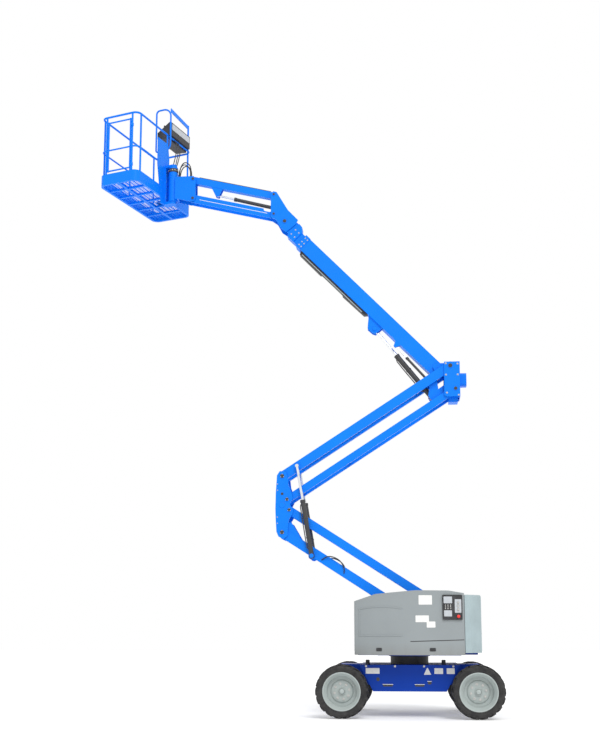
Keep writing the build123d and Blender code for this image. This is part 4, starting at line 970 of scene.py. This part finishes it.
def barrel_lines(bm, base, eye, radius, y, lines, pipe, rings):
    """Oil pipes under a barrel and the bands that hold them."""
    angle = bearing(base, eye)
    along = Vector((eye[0] - base[0], 0, eye[1] - base[1])).normalized()
    for offset in lines:
        add_tube(bm, [from_side(base, angle, x, height, 1, y + offset) for x, height in pipe], radius, 8, 1)
    for x, inner, outer in rings:
        ring = facing_frame(from_side(base, angle, x, 0, 1, y), along, (0, 1, 0))
        add_lathe(bm, ring, ring_profile(inner, outer, 0.012), 28)


class LIFT_OT_riser_fittings(bpy.types.Operator):
    """Adds the bolts, caps and hoses of the two risers and the elbow"""

    bl_idname = "lift.riser_fittings"
    bl_label = "Riser fittings"

    def execute(self, context):
        sizes = context.scene.lift_sizes
        hose = sizes.hose_radius
        bolts = []
        for (x, z), reach in (
            (LOWER_ARM_TOP, 0.026), (LOWER_LINK_TOP, 0.02), (UPPER_LINK_LOW, 0.02), (UPPER_ARM_LOW, 0.026),
        ):
            turns = [math.radians(turn) for turn in (90, 210, 330)]
            places = [(x + reach * math.cos(turn), z + reach * math.sin(turn)) for turn in turns]
            bolts += side_spots(places, 0.2225)
        for z in (3.02, 3.12, 3.56, 3.66):
            bolts += side_spots([(-2.095, z)], 0.2155)
        add_fasteners("elbow_bolts", bolts, "mid_link", 0.007, 0.006)
        caps = bmesh.new()
        for side in (-1, 1):
            for point, radius in (
                (LOWER_ARM_TOP, 0.04), (UPPER_ARM_LOW, 0.04),
                (LOWER_LINK_TOP, 0.034), (UPPER_LINK_LOW, 0.034),
            ):
                add_lathe(caps, beside(point, side, 0.222), cap_profile(radius), 28)
            for z, radius in ((3.32, 0.047), (3.5, 0.022)):
                profile = [(radius, -0.001), (radius, 0.0025), (radius * 0.85, 0.004), (0, 0.004)]
                add_lathe(caps, beside((LOWER_ARM_TOP[0], z), side, 0.2152), profile, 28)
        finish_piece(caps, "elbow_pin_caps", "black", "mid_link")
        for body, start, end in (
            ("lower_arm", LOWER_ARM_TOP, LOWER_ARM_BASE),
            ("upper_arm", UPPER_ARM_LOW, UPPER_ARM_TOP),
        ):
            lines = bmesh.new()
            for side in (-1, 1):
                for offset in (0.02, -0.02):
                    points = line_along(start, end, (0.1, 0.3, 0.5, 0.7, 0.93), (offset,) * 5, side * 0.12)
                    add_tube(lines, points, hose, 8, 1)
            finish_piece(lines, f"{body}_hoses", "hose", body)
            clips = bmesh.new()
            for share in (0.2, 0.4, 0.6, 0.8):
                for side in (-1, 1):
                    spot = line_along(start, end, (share,), (0.0,), side * 0.1215)[0]
                    place = side_frame((spot.x, spot.z), bearing(start, end), spot.y)
                    add_box(clips, place, (-0.012, -0.036, -0.0105), (0.012, 0.036, 0.0105))
            finish_piece(clips, f"{body}_clips", "steel", body, bevel=0.0015)
        loops = bmesh.new()
        for side in (-1, 1):
            points = [from_side(LOWER_ARM_TOP, -RISER_ANGLE, x, y, side, depth) for x, y, depth in RISER_HOSE]
            add_tube(loops, points, hose, 10, 2)
        finish_piece(loops, "riser_hose_loops", "hose", "lower_arm")
        ports = bmesh.new()
        pipe = ((0.12, -0.04), (0.16, -0.056), (0.8, -0.056), (0.85, -0.04))
        rings = ((0.3, 0.0385, 0.0425), (0.62, 0.0385, 0.0425))
        for side in (-1, 1):
            barrel_lines(ports, RISER_BASE_PIN, RISER_EYE_PIN, 0.0085, side * 0.24, (0,), pipe, rings)
        finish_piece(ports, "riser_barrel_lines", "black", "riser_barrels")
        return {"FINISHED"}


def boom_spots(places):
    """Points on both sides of the boom, given along it, above it and from its middle."""
    spots = []
    for side in (-1, 1):
        for x, y, depth in places:
            spots.append((from_side(BOOM_PIN, BOOM_BEARING, x, y, side, depth), (0, side, 0)))
    return spots


class LIFT_OT_boom_fittings(bpy.types.Operator):
    """Adds the collars, wear pad screws, tray strip and cylinder fittings of the boom"""

    bl_idname = "lift.boom_fittings"
    bl_label = "Boom fittings"

    def execute(self, context):
        mouth = [(x, y, 0.1035) for x in (3.1, 3.15) for y in (-0.1, -0.03, 0.05)]
        bolts = boom_spots(mouth + [(x, -0.03, 0.0955) for x in (-0.07, 0.03)])
        add_fasteners("boom_bolts", bolts, "main_boom", 0.009, 0.006)
        strip = bmesh.new()
        for side in (-1, 1):
            place = side_frame(BOOM_PIN, BOOM_BEARING, side * 0.0585)
            add_box(strip, place, (1.56, -0.19, -0.0015), (3.0, -0.174, 0.0015))
        finish_piece(strip, "tray_strips", "rim", "main_boom", bevel=0.0005)
        pads = bmesh.new()
        place = side_frame(BOOM_PIN, BOOM_BEARING)
        for side in (-1, 1):
            low, high = sorted((side * 0.0805, side * 0.0875))
            add_box(pads, place, (3.14, -0.1, low), (3.183, 0.05, high))
        finish_piece(pads, "boom_wear_pads", "plastic", "main_boom", bevel=0.0008)
        fittings = bmesh.new()
        pipe = ((0.16, -0.045), (0.2, -0.061), (0.82, -0.061), (0.87, -0.044))
        rings = ((0.3, 0.0425, 0.0465), (0.6, 0.0425, 0.0465))
        barrel_lines(fittings, LIFT_BASE, LIFT_EYE, 0.0075, 0, (0.012, -0.012), pipe, rings)
        finish_piece(fittings, "lift_barrel_lines", "black", "lift_barrel")
        nose = boom_spots([(x, y, 0.0985) for x in (3.3, 3.38) for y in (-0.06, 0.04)])
        add_fasteners("nose_bolts", nose, "extension_boom", 0.009, 0.006)
        return {"FINISHED"}


class LIFT_OT_pivot_fittings(bpy.types.Operator):
    """Adds the bolts and pin keepers of the upper pivot"""

    bl_idname = "lift.pivot_fittings"
    bl_label = "Upper pivot fittings"

    def execute(self, context):
        places = ((0.66, 5.61), (0.85, 5.6), (0.66, 5.42), (0.85, 5.42), (0.67, 5.12), (0.86, 5.08))
        bolts = side_spots(places, 0.2155)
        add_fasteners("pivot_bolts", bolts, "upper_pivot", 0.012, 0.008)
        keepers = bmesh.new()
        for side in (-1, 1):
            for point, radius in ((UPPER_ARM_TOP, 0.04), (UPPER_LINK_TOP, 0.034)):
                add_lathe(keepers, beside(point, side, 0.222), cap_profile(radius), 28)
        finish_piece(keepers, "pivot_pin_caps", "black", "upper_pivot")
        return {"FINISHED"}


class LIFT_OT_jib_fittings(bpy.types.Operator):
    """Adds the bolts, a white strip painted as a highlight along the lower link, caps and hoses of the jib
    and its tip
    """

    bl_idname = "lift.jib_fittings"
    bl_label = "Jib fittings"

    def execute(self, context):
        sizes = context.scene.lift_sizes
        caps = bmesh.new()
        for side in (-1, 1):
            for point, radius in ((JIB_UPPER_PIN, 0.023), (JIB_LOWER_PIN, 0.023), (NOSE_PIN, 0.033)):
                profile = [(radius, -0.001), (radius, 0.0065), (radius - 0.006, 0.008), (0, 0.008)]
                add_lathe(caps, beside(point, side, 0.12), profile, 24)
        finish_piece(caps, "jib_mount_pin_caps", "black", "jib_mount")
        # Painted highlight: a white strip along each side of the lower jib link
        link_highlight = bmesh.new()
        for side in (-1, 1):
            place = side_frame(JIB_LOWER_PIN, JIB_BEARING, side * 0.0825)
            add_box(link_highlight, place, (0.12, -0.004, -0.0012), (1.33, 0.004, 0.0012))
        finish_piece(link_highlight, "jib_link_highlight", "white", "jib_link", bevel=0.0004)
        tip = bmesh.new()
        for side in (-1, 1):
            for point in (JIB_UPPER_TIP, JIB_LOWER_TIP):
                profile = [(0.023, -0.001), (0.023, 0.002), (0.018, 0.003), (0, 0.003)]
                add_lathe(tip, beside(point, side, 0.1105), profile, 24)
        band = facing_frame((ROTATOR_X, 0, ROTATOR_BAND), (0, 0, 1), (0, 1, 0))
        add_lathe(tip, band, ring_profile(0.0783, 0.084, 0.03), 36)
        finish_piece(tip, "jib_tip_caps", "black", "jib_tip")
        bolts = []
        for index in range(12):
            way = Vector((math.cos(math.radians(30 * index)), math.sin(math.radians(30 * index)), 0))
            bolts.append((Vector((ROTATOR_X, 0, ROTATOR_BAND)) + 0.0845 * way, way))
        add_fasteners("rotator_bolts", bolts, "jib_tip", 0.008, 0.006)
        lines = bmesh.new()
        for y in (-0.03, -0.01, 0.01, 0.03):
            height = 0.0585 + sizes.hose_radius
            points = [from_side(JIB_UPPER_PIN, JIB_BEARING, x, height, 1, y) for x in (0.08, 0.5, 0.9, 1.36)]
            add_tube(lines, points, sizes.hose_radius, 8, 1)
        finish_piece(lines, "jib_top_hoses", "hose", "jib_arm")
        loops = bmesh.new()
        for y, rise in ((-0.05, 0.2), (0.0, 0.27), (0.05, 0.23)):
            x, z = JIB_UPPER_TIP
            route = [
                (x - 0.06, y, z - 0.02), (x - 0.05, y, z + rise), (x - 0.16, y * 1.4, z + rise + 0.1),
                (x - 0.25, y * 1.2, z + rise), (x - 0.262, y, z - 0.03),
            ]
            add_tube(loops, route, sizes.hose_radius, 8, 2)
        finish_piece(loops, "tip_hose_loops", "hose", "jib_tip")
        return {"FINISHED"}


class LIFT_OT_platform_fittings(bpy.types.Operator):
    """Adds the see-through deck"""

    bl_idname = "lift.platform_fittings"
    bl_label = "Platform fittings"

    def execute(self, context):
        sizes = context.scene.lift_sizes
        place = platform_place()
        half_x = PLATFORM_DEPTH / 2 - 0.03
        half_y = PLATFORM_LENGTH / 2 - 0.04
        deck = bmesh.new()
        pitch = sizes.mesh_pitch
        count = int((half_x + half_y) * 2 / pitch)
        for way in (-1, 1):
            for index in range(-count, count + 1):
                (ax, ay), (bx, by) = [(x, index * pitch + way * x * 0.6) for x in (-half_x, half_x)]
                low, high = sorted((ay, by))
                if high < -half_y or low > half_y:
                    continue
                cut = []
                for x, y in ((ax, ay), (bx, by)):
                    if abs(y) > half_y:
                        limit = math.copysign(half_y, y)
                        share = (limit - ay) / (by - ay)
                        x = ax + (bx - ax) * share
                        y = limit
                    cut.append((x + PLATFORM_MIDDLE, y))
                (ax, ay), (bx, by) = cut
                if math.hypot(bx - ax, by - ay) < 0.05:
                    continue
                run = Vector((bx - ax, by - ay, 0))
                turn = Matrix.Rotation(math.atan2(run.y, run.x), 4, "Z")
                spot = place @ Matrix.Translation((ax, ay, 0.0475 + 0.001 * way)) @ turn
                add_box(deck, spot, (0, -0.0022, -0.002), (run.length, 0.0022, 0.002))
        finish_piece(deck, "platform_deck_mesh", "boom", "platform", smooth=False)
        return {"FINISHED"}


class LIFT_OT_control_fittings(bpy.types.Operator):
    """Adds the panel, levers and bare switches of the platform controls"""

    bl_idname = "lift.control_fittings"
    bl_label = "Platform controls"

    def execute(self, context):
        sizes = context.scene.lift_sizes
        place = platform_place()
        seat = place @ Matrix.Translation((RAIL_X - 0.105, 0.44, RAIL_HEIGHT + 0.1645))
        slope = Matrix.Rotation(math.atan2(0.165, 0.24), 4, "Y")
        face = seat @ slope.inverted()
        levers = bmesh.new()
        for y in (-0.2, 0.18):
            at = face @ Matrix.Translation((0, y, 0))
            add_lathe(levers, at, LEVER, 24)
        for row in range(2):
            for column in range(5):
                at = face @ Matrix.Translation((0.05 - 0.08 * row, -0.12 + 0.055 * column, 0))
                add_lathe(levers, at, SMALL_SWITCH, 12)
        finish_piece(levers, "platform_levers", "plastic", "platform")
        back = bmesh.new()
        spot = place @ Vector((RAIL_X + 0.0553, 0.44, RAIL_HEIGHT + 0.155))
        at = facing_frame(spot, place.to_3x3() @ Vector((1, 0, 0)))
        add_prism(back, at, rounded(0.61, 0.11, 0.012, 4), -0.001, 0.004)
        finish_piece(back, "control_back_panel", "panel", "platform", bevel=0.001)
        leads = bmesh.new()
        for y, low in ((0.3, 0.55), (0.36, 0.5), (0.42, 0.6)):
            route = (
                (0.01, y, RAIL_HEIGHT - 0.03), (0.07, y - 0.02, RAIL_HEIGHT - 0.12),
                (0.09, y - 0.06, RAIL_HEIGHT - 0.3), (0.03, y - 0.12, low), (0.012, 0.06, low - 0.08),
            )
            points = [place @ Vector((RAIL_X + out, across, height)) for out, across, height in route]
            add_tube(leads, points, sizes.hose_radius, 8, 2)
        finish_piece(leads, "control_hoses", "hose", "platform")
        stop = bmesh.new()
        add_lathe(stop, face @ Matrix.Translation((0.04, 0.27, 0)), PLATFORM_STOP, 24)
        finish_piece(stop, "platform_stop_button", "red", "platform")
        pedal = bmesh.new()
        at = place @ Matrix.Translation((-0.38, 0.3, 0.05))
        add_prism(pedal, at, rounded(0.2, 0.15, 0.02, 4), -0.001, 0.03)
        tread = at @ Matrix.Translation((0, 0, 0.035)) @ Matrix.Rotation(0.12, 4, "Y")
        add_prism(pedal, tread, rounded(0.16, 0.11, 0.015, 4), 0, 0.012)
        finish_piece(pedal, "foot_switch", "plastic", "platform", bevel=0.003)
        return {"FINISHED"}


class LIFT_OT_stage(bpy.types.Operator):
    """Sets the pale floor, the soft light and the camera at the photograph's angle"""

    bl_idname = "lift.stage"
    bl_label = "Stage"

    def execute(self, context):
        scene = context.scene
        scene.view_settings.view_transform = "Standard"
        bm = bmesh.new()
        add_box(bm, Matrix.Identity(4), (-60, -60, -0.05), (60, 60, -0.0005))
        mesh = bpy.data.meshes.new("floor")
        bmesh.ops.recalc_face_normals(bm, faces=bm.faces)
        bm.to_mesh(mesh)
        bm.free()
        floor = bpy.data.objects.new("floor", mesh)
        scene.collection.objects.link(floor)
        skin = Skin("pale_floor")
        tone = skin.ramp(skin.noise(1.5, 3), (0.86, 0.86, 0.86), (0.88, 0.88, 0.88))
        skin.feed(tone, "Base Color")
        skin.feed(0.9, "Roughness")
        skin.feed(0.1, "Specular IOR Level")
        skin.feed((1, 1, 1, 1), "Emission Color")
        skin.feed(0.24, "Emission Strength")
        mesh.materials.append(skin.material)
        world = bpy.data.worlds.new("studio")
        scene.world = world
        world.use_nodes = True
        tree = world.node_tree
        background = tree.nodes["Background"]
        seen = add_node(tree, "ShaderNodeLightPath").outputs
        clear = seen["Is Camera Ray"]
        for ray in ("Is Glossy Ray", "Is Transmission Ray"):
            links = {0: clear, 1: seen[ray]}
            clear = add_node(tree, "ShaderNodeMath", links, operation="MAXIMUM").outputs["Value"]
        level = add_node(tree, "ShaderNodeMapRange", {"Value": clear}, {"To Min": 0.72, "To Max": 1.0})
        tree.links.new(level.outputs["Result"], background.inputs["Strength"])
        background.inputs["Color"].default_value = (1, 1, 1, 1)
        sun = bpy.data.lights.new("main_light", "SUN")
        sun.energy = scene.lift_sizes.sun_strength
        sun.angle = math.radians(30)
        lamp = bpy.data.objects.new("main_light", sun)
        lamp.rotation_euler = (math.radians(42), 0, math.radians(24))
        scene.collection.objects.link(lamp)
        camera = bpy.data.cameras.new("camera")
        camera.lens = 52.5
        camera.sensor_fit = "VERTICAL"
        camera.sensor_height = 36
        camera.shift_y = 0.12
        camera.clip_end = 200
        eye = bpy.data.objects.new("camera", camera)
        eye.location = (0.025, -17.728, 1.266)
        eye.rotation_euler = (math.radians(98.73), 0, math.radians(5.71))
        scene.collection.objects.link(eye)
        scene.camera = eye
        return {"FINISHED"}


class LIFT_PT_pieces(bpy.types.Panel):
    """Lists the pieces and their settings"""

    bl_label = "Boom lift"
    bl_idname = "LIFT_PT_pieces"
    bl_space_type = "VIEW_3D"
    bl_region_type = "UI"
    bl_category = "Boom lift"

    def draw(self, context):
        layout = self.layout
        for group in (context.scene.lift_colours, context.scene.lift_sizes):
            for key in group.__annotations__:
                layout.prop(group, key)
        for operator in OPERATORS:
            layout.operator(operator.bl_idname)


OPERATORS = (
    LIFT_OT_stage,
    LIFT_OT_node_finishes,
    LIFT_OT_tyres,
    LIFT_OT_wheel_fittings,
    LIFT_OT_chassis_fittings,
    LIFT_OT_cover_fittings,
    LIFT_OT_ground_controls,
    LIFT_OT_riser_fittings,
    LIFT_OT_boom_fittings,
    LIFT_OT_pivot_fittings,
    LIFT_OT_jib_fittings,
    LIFT_OT_platform_fittings,
    LIFT_OT_control_fittings,
)
CLASSES = (LiftColours, LiftSizes) + OPERATORS + (LIFT_PT_pieces,)


def register():
    for item in CLASSES:
        bpy.utils.register_class(item)
    bpy.types.Scene.lift_colours = PointerProperty(type=LiftColours)
    bpy.types.Scene.lift_sizes = PointerProperty(type=LiftSizes)


def unregister():
    del bpy.types.Scene.lift_sizes
    del bpy.types.Scene.lift_colours
    for item in reversed(CLASSES):
        bpy.utils.unregister_class(item)


def main():
    register()
    for operator in OPERATORS:
        getattr(bpy.ops.lift, operator.bl_idname.split(".")[1])()


if __name__ == "__main__":
    main()
